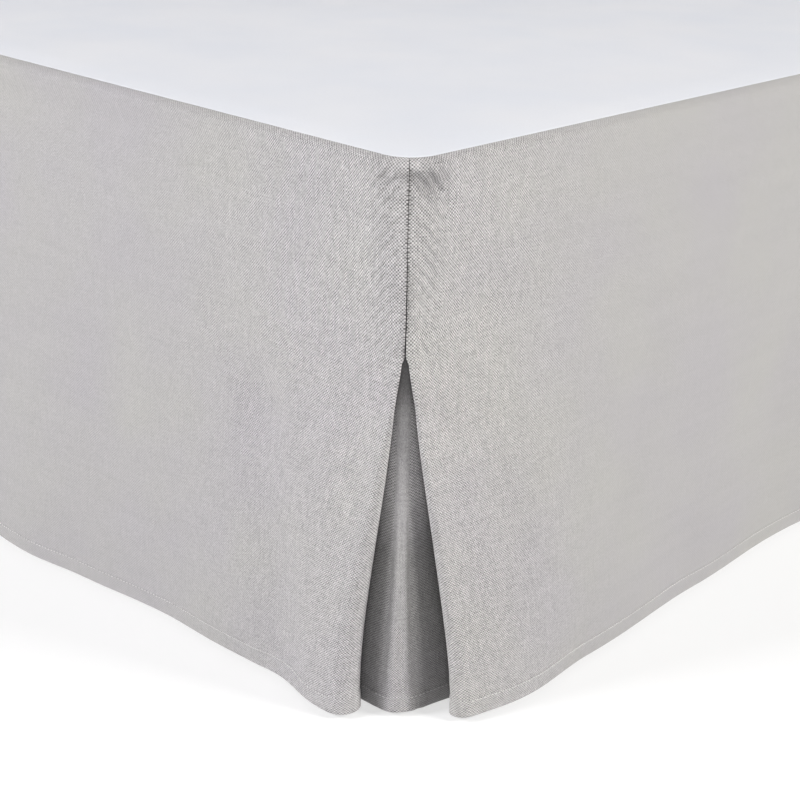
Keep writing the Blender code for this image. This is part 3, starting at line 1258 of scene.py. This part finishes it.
SIDE_CREASES = (
    Crease(0.004, 0.369, 0.020, 0.365, 0.0085, -0.0034),
    Crease(0.014, 0.359, 0.026, 0.352, 0.0110, -0.0018),
    Crease(0.050, 0.360, 0.140, 0.358, 0.0160, -0.0010),
    Crease(0.018, 0.365, 0.046, 0.363, 0.0060, -0.0008),
    Crease(0.016, 0.300, 0.062, 0.288, 0.032, -0.0029),
    Crease(0.006, 0.271, 0.111, 0.277, 0.015, 0.0011),
    Crease(0.002, 0.2665, 0.019, 0.2655, 0.0024, -0.0007),
    Crease(0.073, 0.164, 0.092, 0.117, 0.024, -0.0014),
    Crease(0.227, 0.204, 0.205, 0.113, 0.038, -0.0022),
    Crease(0.200, 0.088, 0.290, 0.046, 0.046, -0.0028),
    Crease(0.262, 0.236, 0.306, 0.145, 0.056, 0.0020),
    Crease(0.430, 0.310, 0.405, 0.090, 0.050, -0.0014),
    Crease(0.560, 0.250, 0.585, 0.050, 0.045, 0.0013),
    Crease(0.745, 0.330, 0.730, 0.100, 0.050, -0.0013),
    Crease(0.960, 0.230, 0.990, 0.040, 0.048, -0.0014),
    Crease(1.190, 0.320, 1.165, 0.120, 0.055, 0.0013),
    Crease(1.440, 0.260, 1.460, 0.050, 0.045, -0.0014),
    Crease(1.700, 0.320, 1.680, 0.080, 0.055, -0.0013),
    Crease(1.930, 0.240, 1.945, 0.030, 0.045, 0.0012),
)

FOOT_FLAP = Flap(opening=0.0450, roll_width=0.012, roll_depth=0.012, settle=0.0)
SIDE_FLAP = Flap(opening=0.0490, roll_width=0.008, roll_depth=0.007, settle=0.010)
# Each hang's dimple shade value is painted shade at the top of the corner seam
FOOT_HANG = Hang(FOOT_FOLDS, FOOT_CREASES, seed=4.2, top_shade=0.10)
RIGHT_HANG = Hang(SIDE_FOLDS, SIDE_CREASES, seed=8.9, top_shade=0.30)
LEFT_HANG = Hang(SIDE_FOLDS, SIDE_CREASES, seed=15.3, top_shade=0.30)


def side_hang(side: Side) -> Hang:
    """The hanging shape of one side panel."""
    return RIGHT_HANG if side is Side.RIGHT else LEFT_HANG


class StitchRow:
    """A row of short stitches as one joined mesh of small stretched spheres."""

    block = 32

    def __init__(self, length: float, radius: float) -> None:
        """Start an empty row.

        Args:
            length: Length of one stitch.
            radius: Half the thread's thickness.
        """
        self.length = length
        self.radius = radius
        self.places: list[Matrix] = []

    def add(self, middle: Vector, along: Vector, out: Vector) -> None:
        """Lay one stitch.

        Args:
            middle: Its middle.
            along: The direction it runs in.
            out: The direction away from the cloth.
        """
        run = along.normalized()
        across = out.cross(run).normalized()
        up = run.cross(across)
        turned = Matrix((across, up, run)).transposed().to_4x4()
        stretched = Matrix.Diagonal((self.radius, self.radius, self.length / 2, 1.0))
        self.places.append(Matrix.Translation(middle) @ turned @ stretched)

    def finish(self, name: str) -> bpy.types.Object:
        """Make the stitches block by block and join them.

        Args:
            name: The piece's name.

        Returns:
            The row as one object.
        """
        row = bmesh.new()
        for start in range(0, len(self.places), self.block):
            part = bmesh.new()
            for place in self.places[start : start + self.block]:
                bmesh.ops.create_uvsphere(
                    part, u_segments=6, v_segments=5, radius=1.0, matrix=place
                )
            mesh = bpy.data.meshes.new("stitches")
            part.to_mesh(mesh)
            part.free()
            row.from_mesh(mesh)
            bpy.data.meshes.remove(mesh)
        return object_from(row, name)


@dataclass(frozen=True)
class DropPanel:
    """A drop panel with its folds, its turned edge and its hem stitching.

    front_corners holds the cloth beside each of the panel's foot corners and how far it runs
    from there, stitch_front and stitch_back are how far the hem's stitches stand from the
    middle of the cloth, and stitch_slant is how far they stray up and down.
    """

    name: str
    front_corners: tuple[tuple[PanelCorner, float], ...]
    stitch_front: float = 0.00080
    stitch_back: float = 0.00085
    stitch_slant: float = 0.00012

    def build(self) -> bpy.types.Object:
        """Build the panel's cloth."""
        raise NotImplementedError

    def hem_stitches(self) -> bpy.types.Object:
        """Lay the hem's stitches on the front and on the turned-up back.

        Returns:
            The stitches as one object.
        """
        row = StitchRow(length=HEM_STITCH * STITCH_SHARE, radius=HEM_STITCH_RADIUS)
        for corner, length in self.front_corners:
            count = int((length - HEM_STITCH) / HEM_STITCH)
            for index in range(count):
                column = (index + 0.5) * HEM_STITCH
                middle = corner.front(column, STITCH_LINE)
                along = corner.front(column + HEM_STITCH / 2, STITCH_LINE) - middle
                out = Vector((along.y, -along.x, 0.0)).normalized()
                if out.dot(corner.front(column, STITCH_LINE, proud=0.01) - middle) < 0:
                    out.negate()
                slant = Vector((0.0, 0.0, self.stitch_slant * math.sin(index * 1.7)))
                row.add(middle + out * self.stitch_front + slant, along + slant, out)
                row.add(middle - out * self.stitch_back, along, out)
        return row.finish(f"{self.name}_hem_stitches")


class SidePanel(DropPanel):
    """The drop panel down one long side."""

    @classmethod
    def on(cls, side: Side) -> "SidePanel":
        """Place a panel on one side of the bed.

        Args:
            side: The side.

        Returns:
            The panel.
        """

        def place(along: float, out: float, z: float) -> Vector:
            """A point along and out from the side's foot corner, in the room."""
            return Vector((side.value * (BED.edge_x + out), BED.foot_y + along, z))

        cut_from = 2.1 if side is Side.RIGHT else 4.5
        corner = PanelCorner(
            SIDE_FLAP, side_hang(side), place, cut_from, weave_over=0.22, weave_left=0.16
        )
        return cls(f"side_panel_{side.word}", ((corner, BED.length),))

    def build(self) -> bpy.types.Object:
        """Build the panel's cloth from its return to the head of the bed.

        Returns:
            The sheet.
        """
        rows = panel_heights()
        strip, returned = corner_strip(*self.front_corners[0])
        notch = rows.index(min(rows, key=lambda z: abs(z - RETURN_START)))

        def is_cut(column: float, row: float) -> bool:
            """The return ends below the rolled top edge."""
            return column < returned and row < notch

        sheet = SheetBuilder(strip, rows).build(f"{self.name}_linen", is_cut)
        give_thickness(sheet, CLOTH, HEM_THICKNESS)
        return sheet


class FootPanel(DropPanel):
    """The drop panel across the foot, turned back at both corners."""

    @classmethod
    def across_foot(cls) -> "FootPanel":
        """Place the panel across the foot of the bed.

        Returns:
            The panel.
        """
        corners = []
        for side in reversed(Side):
            corner = PanelCorner(
                FOOT_FLAP,
                FOOT_HANG,
                cls._place_from(side),
                cut_from=0.0,
                weave_over=0.27,
                weave_left=0.32,
                mirrored_length=BED.width if side is Side.LEFT else None,
            )
            corners.append((corner, BED.width / 2))
        return cls("foot_panel", tuple(corners))

    @staticmethod
    def _place_from(side: Side) -> Place:
        """Points along and out from one end of the foot, in the room."""

        def place(along: float, out: float, z: float) -> Vector:
            """A point of this end."""
            return Vector((side.value * (BED.edge_x - along), BED.foot_y - out, z))

        return place

    def build(self) -> bpy.types.Object:
        """Build the panel's cloth from one return to the other.

        Returns:
            The sheet.
        """
        rows = panel_heights()
        (right, half), (left, _) = self.front_corners
        near, returned = corner_strip(right, half)
        far, _ = corner_strip(left, half)
        columns = near + list(reversed(far[:-1]))
        last = len(columns) - 1 - returned
        notch = rows.index(min(rows, key=lambda z: abs(z - RETURN_START)))

        def is_cut(column: float, row: float) -> bool:
            """The returns end below the rolled top edge."""
            return (column < returned or column > last) and row < notch

        sheet = SheetBuilder(columns, rows).build(f"{self.name}_linen", is_cut)
        give_thickness(sheet, CLOTH, HEM_THICKNESS)
        return sheet


@dataclass(frozen=True)
class PleatInsert:
    """The insert that shows through the open pleat of one foot corner.

    A place on it runs from -1 at the end of the foot leg, through the round nose between -0.5
    and 0.5, to 1 at the end of the side leg. Painted shade darkens the cloth beside the lit half
    of the nose, from a height down, and again under the end of the corner seam.
    """

    side: Side
    leg_steps: int = 16
    nose_steps: int = 26
    starts_below: float = 0.0015
    ripple: float = 0.0003
    ripple_across: float = 10.0
    ripple_down: float = 9.0
    ripple_reach: float = 1.2
    stitch_front: float = 0.00085
    # These fields place and size the painted shade beside the nose and under the seam
    lit_half: float = 0.42
    lit_edge: float = 0.28
    shade_beside: float = 0.54
    shade_from: float = 0.190
    shade_over: float = 0.070
    shade_under_seam: float = 0.58
    under_seam_from: float = 0.222
    under_seam_over: float = 0.030

    def foot_place(self, along: float) -> float:
        """A distance from this corner, measured from the foot panel's own start."""
        return along if self.side is Side.RIGHT else BED.width - along

    @staticmethod
    def _depth(flap: Flap, hang: Hang, along: float, z: float) -> float:
        """How far in from the deck's edge the insert hangs, behind a panel's return."""
        layers = 2 * flap.half_depth(z) + flap.settle * opened(z)
        tucked = INSERT_TUCK * smooth(1.0 - (HANG_TOP - z) / INSERT_TUCK_LENGTH)
        seam_difference = 2 * (SOLID_ROLL_AT_SEAM - ROLL_AT_SEAM) * (1.0 - opened(z))
        out = hang.out(along, min(z, HANG_TOP))
        return layers + seam_difference + SOLID_SHEET + LAYER_GAP + tucked - out

    def back(self, place: float, z: float) -> tuple[float, float]:
        """How far back from the side's and the foot's edge a place lies."""
        side_hang_here = side_hang(self.side)
        near_foot = self.foot_place(INSERT_LOW_RADIUS)
        from_side = self._depth(SIDE_FLAP, side_hang_here, INSERT_LOW_RADIUS, z)
        from_foot = self._depth(FOOT_FLAP, FOOT_HANG, near_foot, z)
        beside_panels = corner_radius(z) - (from_side + from_foot) / 2
        radius = beside_panels + (INSERT_LOW_RADIUS - beside_panels) * opened(z)
        if abs(place) <= 0.5:
            turn = (0.5 - place) * math.pi / 2
            return (
                from_side + radius * (1.0 - math.cos(turn)),
                from_foot + radius * (1.0 - math.sin(turn)),
            )
        share = (abs(place) - 0.5) / 0.5
        if place < 0:
            start = from_side + radius
            back_x = start + (INSERT_LEG - start) * share
            return back_x, self._depth(FOOT_FLAP, FOOT_HANG, self.foot_place(back_x), z)
        start = from_foot + radius
        back_y = start + (INSERT_LEG - start) * share
        return self._depth(SIDE_FLAP, side_hang_here, back_y, z), back_y

    def point(self, place: float, z: float) -> Vector:
        """A point of the insert in the room."""
        back_x, back_y = self.back(place, z)
        wave = math.sin(place * self.ripple_across + z * self.ripple_down)
        ripple = self.ripple * opened(z) * wave * lobe(place / self.ripple_reach)
        back_x += ripple
        back_y += ripple
        x = self.side.value * (BED.edge_x - back_x)
        return Vector((x, BED.foot_y + back_y, z))

    def shade(self, place: float, z: float) -> float:
        """Painted shade deep in the pleat: how much darker beside the nose and under the seam."""
        beside = 1.0 - smooth((self.lit_half - abs(place)) / self.lit_edge)
        low = smooth((self.shade_from - z) / self.shade_over)
        under_seam = smooth((z - self.under_seam_from) / self.under_seam_over)
        return max(self.shade_beside * beside * low, self.shade_under_seam * under_seam)

    def places(self) -> list[float]:
        """The places of the insert's columns."""
        leg_step = 0.5 / self.leg_steps
        return graded(-1.0, (-0.5, leg_step), (0.5, 1.0 / self.nose_steps), (1.0, leg_step))

    def _across(self, places: Sequence[float], z: float) -> list[float]:
        """Distances across the cloth of the columns, measured at one height."""
        distances = [0.0]
        for before, place in zip(places, places[1:]):
            step = (self.point(place, z) - self.point(before, z)).length
            distances.append(distances[-1] + step)
        return distances

    def build(self) -> bpy.types.Object:
        """Build the insert's cloth.

        Returns:
            The sheet.
        """
        places = self.places()
        across = self._across(places, HEM_LINE)
        rows = graded(
            BED.top - self.starts_below,
            (SEAM_END, 0.0075),
            (HEM_LINE + 0.003, 0.0060),
            (HEM_LINE - 0.003, 0.0010),
            (HEM_CLEARANCE, 0.0022),
        )

        def column(place: float, distance: float) -> SpotAt:
            """Turn one place round the insert into spots at each height."""

            def at_height(z: float) -> Spot:
                """The spot at a height."""
                return Spot(
                    place=self.point(place, z),
                    uv=(distance, z),
                    # Painted shade deep in the pleat
                    pleat_shade=self.shade(place, z),
                    hem_pull=lobe((z - HEM_LINE) / HEM_PULL_REACH),
                    hem=1.0 if z <= HEM_LINE else 0.0,
                )

            return at_height

        columns = [column(place, distance) for place, distance in zip(places, across)]
        sheet = SheetBuilder(columns, rows).build(f"pleat_insert_{self.side.word}_linen")
        give_thickness(sheet, CLOTH, HEM_THICKNESS)
        return sheet

    def hem_stitches(self) -> bpy.types.Object:
        """Lay the hem's stitches on the face that shows.

        Returns:
            The stitches as one object.
        """
        row = StitchRow(length=HEM_STITCH * STITCH_SHARE, radius=HEM_STITCH_RADIUS)
        places = self.places()
        across = self._across(places, HEM_LINE)
        target = HEM_STITCH
        centre = Vector((0.0, 0.0, HEM_LINE))
        for index in range(1, len(places)):
            while target < across[index]:
                share = (target - across[index - 1]) / (across[index] - across[index - 1])
                place = places[index - 1] + (places[index] - places[index - 1]) * share
                middle = self.point(place, STITCH_LINE)
                along = self.point(min(place + 0.01, 1.0), STITCH_LINE) - middle
                if along.length < 1e-6:
                    along = middle - self.point(place - 0.01, STITCH_LINE)
                out = Vector((along.y, -along.x, 0.0)).normalized()
                if out.dot(middle - centre) < 0:
                    out.negate()
                row.add(middle + out * self.stitch_front, along, out)
                target += HEM_STITCH
        return row.finish(f"pleat_insert_{self.side.word}_hem_stitches")


@dataclass(frozen=True)
class CornerSeam:
    """The short stitches that close a foot corner above its pleat.

    first is how far the lowest stitch is above the seam's end, as a share of a stitch, and last
    is how far up the rolled edge they go.
    """

    side: Side
    length: float = 0.0042
    radius: float = 0.00022
    slant: float = 0.105
    first: float = 0.4
    last: float = 0.5

    def build(self) -> bpy.types.Object:
        """Lay the stitches from the end of the seam up to the rolled edge.

        Returns:
            The stitches as one object.
        """
        row = StitchRow(self.length, self.radius)
        sign = self.side.value
        outward = Vector((sign, -1.0, 0.0)).normalized()
        along = Vector((-outward.y, outward.x, 0.0))
        z = SEAM_END + SEAM_STITCH * self.first
        while z < HANG_TOP + EDGE_ROLL * self.last:
            out = side_hang(self.side).out(0.0, z) + CLOTH / 2
            back, reach = round_corner(0.0, out, z)
            middle = Vector((sign * (BED.edge_x + reach), BED.foot_y + back, z))
            row.add(middle, along + Vector((0.0, 0.0, self.slant)), outward)
            z += SEAM_STITCH
        return row.finish(f"corner_seam_{self.side.word}_stitches")


@dataclass(frozen=True)
class Deck:
    """The white deck, sewn to the panels round its edge and slightly crowned on the base.

    near_edge holds the distances of the grid's lines from an edge, and grid_step is the spacing
    of the others. uneven is the height of the cloth's swells, broad ones and finer ones.
    """

    thickness: float = 0.0010
    crown: float = 0.0012
    crown_over: float = 0.022
    edge_drop: float = 0.0005
    edge_over: float = 0.0018
    uneven: float = 0.0006
    swell_scale: float = 7.0
    fine_swell_scale: float = 19.0
    fine_swell: float = 0.5
    grid_step: float = 0.020
    near_edge: tuple[float, ...] = (
        0.0,
        0.0007,
        0.0015,
        0.0030,
        0.0055,
        0.0090,
        0.0140,
        CORNER_TOP_RADIUS,
        0.030,
        0.046,
    )

    def _lines(self, low: float, high: float) -> list[float]:
        """Grid lines across one direction, close together by its edges."""
        lines = [low + distance for distance in self.near_edge]
        lines += spaced(lines[-1], high - self.near_edge[-1], self.grid_step)
        lines += [high - distance for distance in reversed(self.near_edge[:-1])]
        return lines

    def _rounded(self, x: float, y: float) -> tuple[float, float]:
        """Draw the grid's square foot corners in to the corner's arc."""
        radius = CORNER_TOP_RADIUS
        across = (abs(x) - (BED.edge_x - radius)) / radius
        forward = ((BED.foot_y + radius) - y) / radius
        if across <= 0 or forward <= 0:
            return x, y
        round_across = across * math.sqrt(1.0 - forward * forward / 2)
        round_forward = forward * math.sqrt(1.0 - across * across / 2)
        x = math.copysign(BED.edge_x - radius + radius * round_across, x)
        return x, BED.foot_y + radius - radius * round_forward

    def _height(self, x: float, y: float, inside: float) -> float:
        """Height of the deck's upper face at a place, inside being its distance from the edge."""
        broad, fine = self.swell_scale, self.fine_swell_scale
        swell = noise.noise(Vector((x * broad, y * broad, 2.0)))
        swell += self.fine_swell * noise.noise(Vector((x * fine, y * fine, 6.0)))
        risen = smooth(inside / self.crown_over)
        height = BED.top + self.crown * risen + self.uneven * swell * risen
        return height - self.edge_drop * (1.0 - smooth(inside / self.edge_over))

    def build(self) -> bpy.types.Object:
        """Build the deck's cloth.

        Returns:
            The sheet.
        """
        edge = SEAM_GAP / 2
        xs = self._lines(-BED.edge_x + edge, BED.edge_x - edge)
        ys = self._lines(BED.foot_y + edge, BED.head_y - edge)

        def column(x: float) -> SpotAt:
            """Turn one grid line into spots at each place up the bed."""

            def at_line(y: float) -> Spot:
                """The spot where two grid lines cross."""
                inside = min(BED.edge_x - abs(x), y - BED.foot_y, BED.head_y - y)
                place_x, place_y = self._rounded(x, y)
                return Spot(place=Vector((place_x, place_y, self._height(x, y, inside))), uv=(x, y))

            return at_line

        sheet = SheetBuilder([column(x) for x in xs], list(reversed(ys))).build("deck_sheet")
        give_thickness(sheet, self.thickness, self.thickness, offset=-1.0)
        return sheet


@dataclass(frozen=True)
class BaseBox:
    """The base's plain upholstered box."""

    corner_radius: float = 0.040
    edge_radius: float = 0.012

    def build(self) -> bpy.types.Object:
        """Build the box with round upright corners and soft edges.

        Returns:
            The box.
        """
        low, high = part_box("base_box")
        size = high - low
        middle = (high + low) / 2
        bm = bmesh.new()
        placed = Matrix.Translation(middle) @ Matrix.Diagonal((*size, 1.0))
        bmesh.ops.create_cube(bm, size=1.0, matrix=placed)
        upright = [edge for edge in bm.edges if self._is_upright(edge)]
        self._bevel(bm, upright, self.corner_radius, 10)
        rims = [edge for edge in bm.edges if self._is_rim(edge, low.z, high.z)]
        self._bevel(bm, rims, self.edge_radius, 6)
        long_edges = [edge for edge in bm.edges if edge.calc_length() > 0.1]
        bmesh.ops.subdivide_edges(bm, edges=long_edges, cuts=12, use_grid_fill=True)
        bmesh.ops.recalc_face_normals(bm, faces=bm.faces)
        return object_from(bm, "base_box_cover")

    @staticmethod
    def _is_upright(edge: bmesh.types.BMEdge) -> bool:
        """Whether an edge stands upright."""
        run = edge.verts[0].co - edge.verts[1].co
        return abs(run.z) > 0.9 * run.length

    @staticmethod
    def _is_rim(edge: bmesh.types.BMEdge, low: float, high: float) -> bool:
        """Whether an edge lies round the top or the bottom."""
        heights = [vert.co.z for vert in edge.verts]
        return max(heights) - min(heights) < 1e-5 and (
            abs(heights[0] - low) < 1e-5 or abs(heights[0] - high) < 1e-5
        )

    @staticmethod
    def _bevel(bm: bmesh.types.BMesh, edges: list, offset: float, segments: int) -> None:
        """Round some edges."""
        bmesh.ops.bevel(
            bm,
            geom=edges,
            offset=offset,
            offset_type="OFFSET",
            segments=segments,
            profile=0.5,
            affect="EDGES",
            material=-1,
        )


@dataclass(frozen=True)
class BaseLeg:
    """One turned leg, tapered towards the floor."""

    node: str
    foot_radius: float = 0.022
    top_radius: float = 0.030
    rim: float = 0.0025
    sides: int = 48

    def profile(self, height: float) -> list[tuple[float, float]]:
        """Radii and heights of the leg's outline, from the middle of its foot to its top."""
        points = [(0.0, 0.0), (self.foot_radius - self.rim, 0.0)]
        rim_steps = 4
        for step in range(1, rim_steps + 1):
            turn = 0.5 * math.pi * step / rim_steps
            radius = self.foot_radius - self.rim * (1.0 - math.sin(turn))
            points.append((radius, self.rim * (1.0 - math.cos(turn))))
        for rise in spaced(self.rim, height, 0.012):
            share = rise / height
            points.append((self.foot_radius + (self.top_radius - self.foot_radius) * share, rise))
        points.append((0.0, height))
        return points

    def build(self) -> bpy.types.Object:
        """Spin the leg's outline round its axis.

        Returns:
            The leg.
        """
        low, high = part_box(self.node)
        middle = (low + high) / 2
        base = Vector((middle.x, middle.y, low.z))
        bm = bmesh.new()
        verts = []
        for radius, rise in self.profile(high.z - low.z):
            verts.append(bm.verts.new(base + Vector((radius, 0.0, rise))))
        edges = [bm.edges.new(pair) for pair in zip(verts, verts[1:])]
        bmesh.ops.spin(
            bm,
            geom=verts + edges,
            cent=base,
            axis=(0.0, 0.0, 1.0),
            angle=2 * math.pi,
            steps=self.sides,
            use_merge=True,
        )
        bmesh.ops.remove_doubles(bm, verts=bm.verts, dist=1e-5)
        bmesh.ops.recalc_face_normals(bm, faces=bm.faces)
        obj = object_from(bm, f"{self.node}_turned")
        obj.data.set_sharp_from_angle(angle=math.radians(40))
        return obj


@dataclass(frozen=True)
class PhotoCamera:
    """The camera in front of the right foot corner, looking down on it.

    out_x and out_y are measured from that corner, height from the floor. azimuth and pitch are
    in degrees, and roll is in radians.
    """

    out_x: float = 0.59847
    out_y: float = 0.60713
    height: float = 0.59055
    azimuth: float = 44.76
    pitch: float = 22.328
    roll: float = 0.02
    lens: float = 72.0

    def build(self) -> bpy.types.Object:
        """Make the camera and look through it.

        Returns:
            The camera.
        """
        azimuth = math.radians(self.azimuth)
        pitch = math.radians(self.pitch)
        level = Vector((-math.sin(azimuth), math.cos(azimuth), 0.0)) * math.cos(pitch)
        forward = level - Vector((0.0, 0.0, math.sin(pitch)))
        right = Vector((math.cos(azimuth), math.sin(azimuth), 0.0))
        up = right.cross(forward)
        rolled_right = right * math.cos(self.roll) + up * math.sin(self.roll)
        rolled_up = up * math.cos(self.roll) - right * math.sin(self.roll)
        placed = Matrix((rolled_right, rolled_up, -forward)).transposed().to_4x4()
        placed.translation = (BED.edge_x + self.out_x, BED.foot_y - self.out_y, self.height)
        data = bpy.data.cameras.new("photo_camera")
        data.lens = self.lens
        data.sensor_width = 36.0
        data.clip_start = 0.02
        camera = bpy.data.objects.new("photo_camera", data)
        bpy.context.scene.collection.objects.link(camera)
        camera.matrix_world = placed
        bpy.context.scene.camera = camera
        return camera


@dataclass(frozen=True)
class SoftLight:
    """A large soft lamp that faces a point of the object."""

    name: str
    place: Vector
    target: Vector
    size: float
    watts: float
    colour: Colour = (1.0, 1.0, 1.0)

    def build(self) -> bpy.types.Object:
        """Make the lamp.

        Returns:
            The lamp.
        """
        data = bpy.data.lights.new(self.name, "AREA")
        data.shape = "SQUARE"
        data.size = self.size
        data.energy = self.watts
        data.color = self.colour
        lamp = bpy.data.objects.new(self.name, data)
        lamp.location = self.place
        lamp.rotation_euler = (self.target - self.place).to_track_quat("-Z", "Y").to_euler()
        bpy.context.scene.collection.objects.link(lamp)
        return lamp


LAMP_AIM = Vector((BED.edge_x, BED.foot_y, 0.2))
LAMPS = (
    SoftLight(
        "foot_lamp",
        LAMP_AIM + Vector((-1.95, -4.35, 2.95)),
        LAMP_AIM,
        size=1.4,
        watts=248.0,
        colour=(0.985, 0.975, 1.0),
    ),
    SoftLight(
        "side_lamp",
        LAMP_AIM + Vector((4.35, 1.95, 2.95)),
        LAMP_AIM,
        size=1.4,
        watts=246.0,
        colour=(1.0, 0.985, 0.955),
    ),
    SoftLight(
        "front_lamp",
        LAMP_AIM + Vector((2.9, -2.9, 3.0)),
        LAMP_AIM,
        size=1.2,
        watts=58.0,
    ),
    SoftLight(
        "back_lamp",
        LAMP_AIM + Vector((-5.0, 5.5, 3.5)),
        Vector((-0.4, 0.4, 0.3)),
        size=3.0,
        watts=60.0,
    ),
)


@dataclass(frozen=True)
class Studio:
    """A white floor, soft light all round, a lamp before each panel, one between, one behind."""

    overhead: float = 0.10
    horizon: float = 0.80
    horizon_ends: float = 0.09
    floor_reach: float = 60.0

    def build(self) -> None:
        """Make the floor, the surrounding light and the lamps."""
        bm = bmesh.new()
        bmesh.ops.create_grid(bm, x_segments=4, y_segments=4, size=self.floor_reach)
        floor = object_from(bm, "studio_floor")
        floor.data.materials.append(StudioFloor().material())
        self._build_air()
        for lamp in LAMPS:
            lamp.build()
        bpy.context.scene.view_settings.view_transform = "Standard"

    def _build_air(self) -> None:
        """Make the surrounding light: bright near the horizon and dim overhead."""
        world = bpy.data.worlds.new("studio_air")
        bench = Bench(world)
        rise = bench.place("Generated")[2]
        share = (rise.size() / self.horizon_ends).held()
        strength = self.horizon + share * (self.overhead - self.horizon)
        bench.feed(bench.tree.nodes["Background"].inputs["Color"], (1.0, 1.0, 1.0))
        bench.feed(bench.tree.nodes["Background"].inputs["Strength"], strength)
        bpy.context.scene.world = world


@dataclass(frozen=True)
class CutSizes:
    """Flat sizes of the skirt's cloth as it was cut, across and down."""

    drop: float = 0.40
    turned_back: float = 0.085
    insert_across: float = 0.20

    @property
    def foot(self) -> tuple[float, float]:
        """The foot panel, with a return at each end."""
        return BED.width + 2 * self.turned_back, self.drop

    @property
    def side(self) -> tuple[float, float]:
        """A side panel, with a return at its foot end."""
        return BED.length + self.turned_back, self.drop

    @property
    def insert(self) -> tuple[float, float]:
        """A pleat insert."""
        return self.insert_across, self.drop

    @property
    def deck(self) -> tuple[float, float]:
        """The deck."""
        return BED.width, BED.length


def build_skirt(cuts: CutSizes) -> None:
    """Build the panels, the inserts, the deck and their sewing.

    Args:
        cuts: Flat sizes of the cloth.
    """
    linen = SkirtLinen().material()
    # The inserts' linen is the panels' linen made darker as painted shade
    painted_shade_insert_linen = SkirtLinen("grey_insert_linen", shade=0.92).material()
    hem_thread = Thread("pale_hem_thread", (0.84, 0.83, 0.82)).material()
    # The inserts' hem thread is darker than the panels' as painted shade
    painted_shade_insert_thread = Thread("shaded_hem_thread", (0.46, 0.455, 0.45)).material()
    seam_thread = Thread("grey_seam_thread", (0.12, 0.115, 0.115)).material()
    deck = settle_piece(Deck().build(), DeckCloth().material(), ["deck"])
    panels: list[tuple[DropPanel, tuple[float, float]]] = [(FootPanel.across_foot(), cuts.foot)]
    panels += [(SidePanel.on(side), cuts.side) for side in Side]
    for panel, flat in panels:
        sheet = settle_piece(panel.build(), linen, [panel.name])
        stitches = settle_piece(panel.hem_stitches(), hem_thread)
    for side in Side:
        insert = PleatInsert(side)
        node = f"pleat_insert_{side.word}"
        sheet = settle_piece(insert.build(), painted_shade_insert_linen, [node])
        stitches = settle_piece(insert.hem_stitches(), painted_shade_insert_thread)
        settle_piece(CornerSeam(side).build(), seam_thread)


def build_base() -> None:
    """Build the upholstered box and its legs."""
    box = settle_piece(BaseBox().build(), BaseCover().material(), ["base_box"])
    wood = LegWood().material()
    for node in sorted(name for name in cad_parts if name.startswith("base_leg_")):
        settle_piece(BaseLeg(node).build(), wood, [node])


def main() -> None:
    """Build the bed skirt on its base, the studio and the camera."""
    logging.basicConfig(level=logging.INFO, format="%(message)s")
    PhotoCamera().build()
    Studio().build()
    build_base()
    build_skirt(CutSizes())


if __name__ == "__main__":
    main()
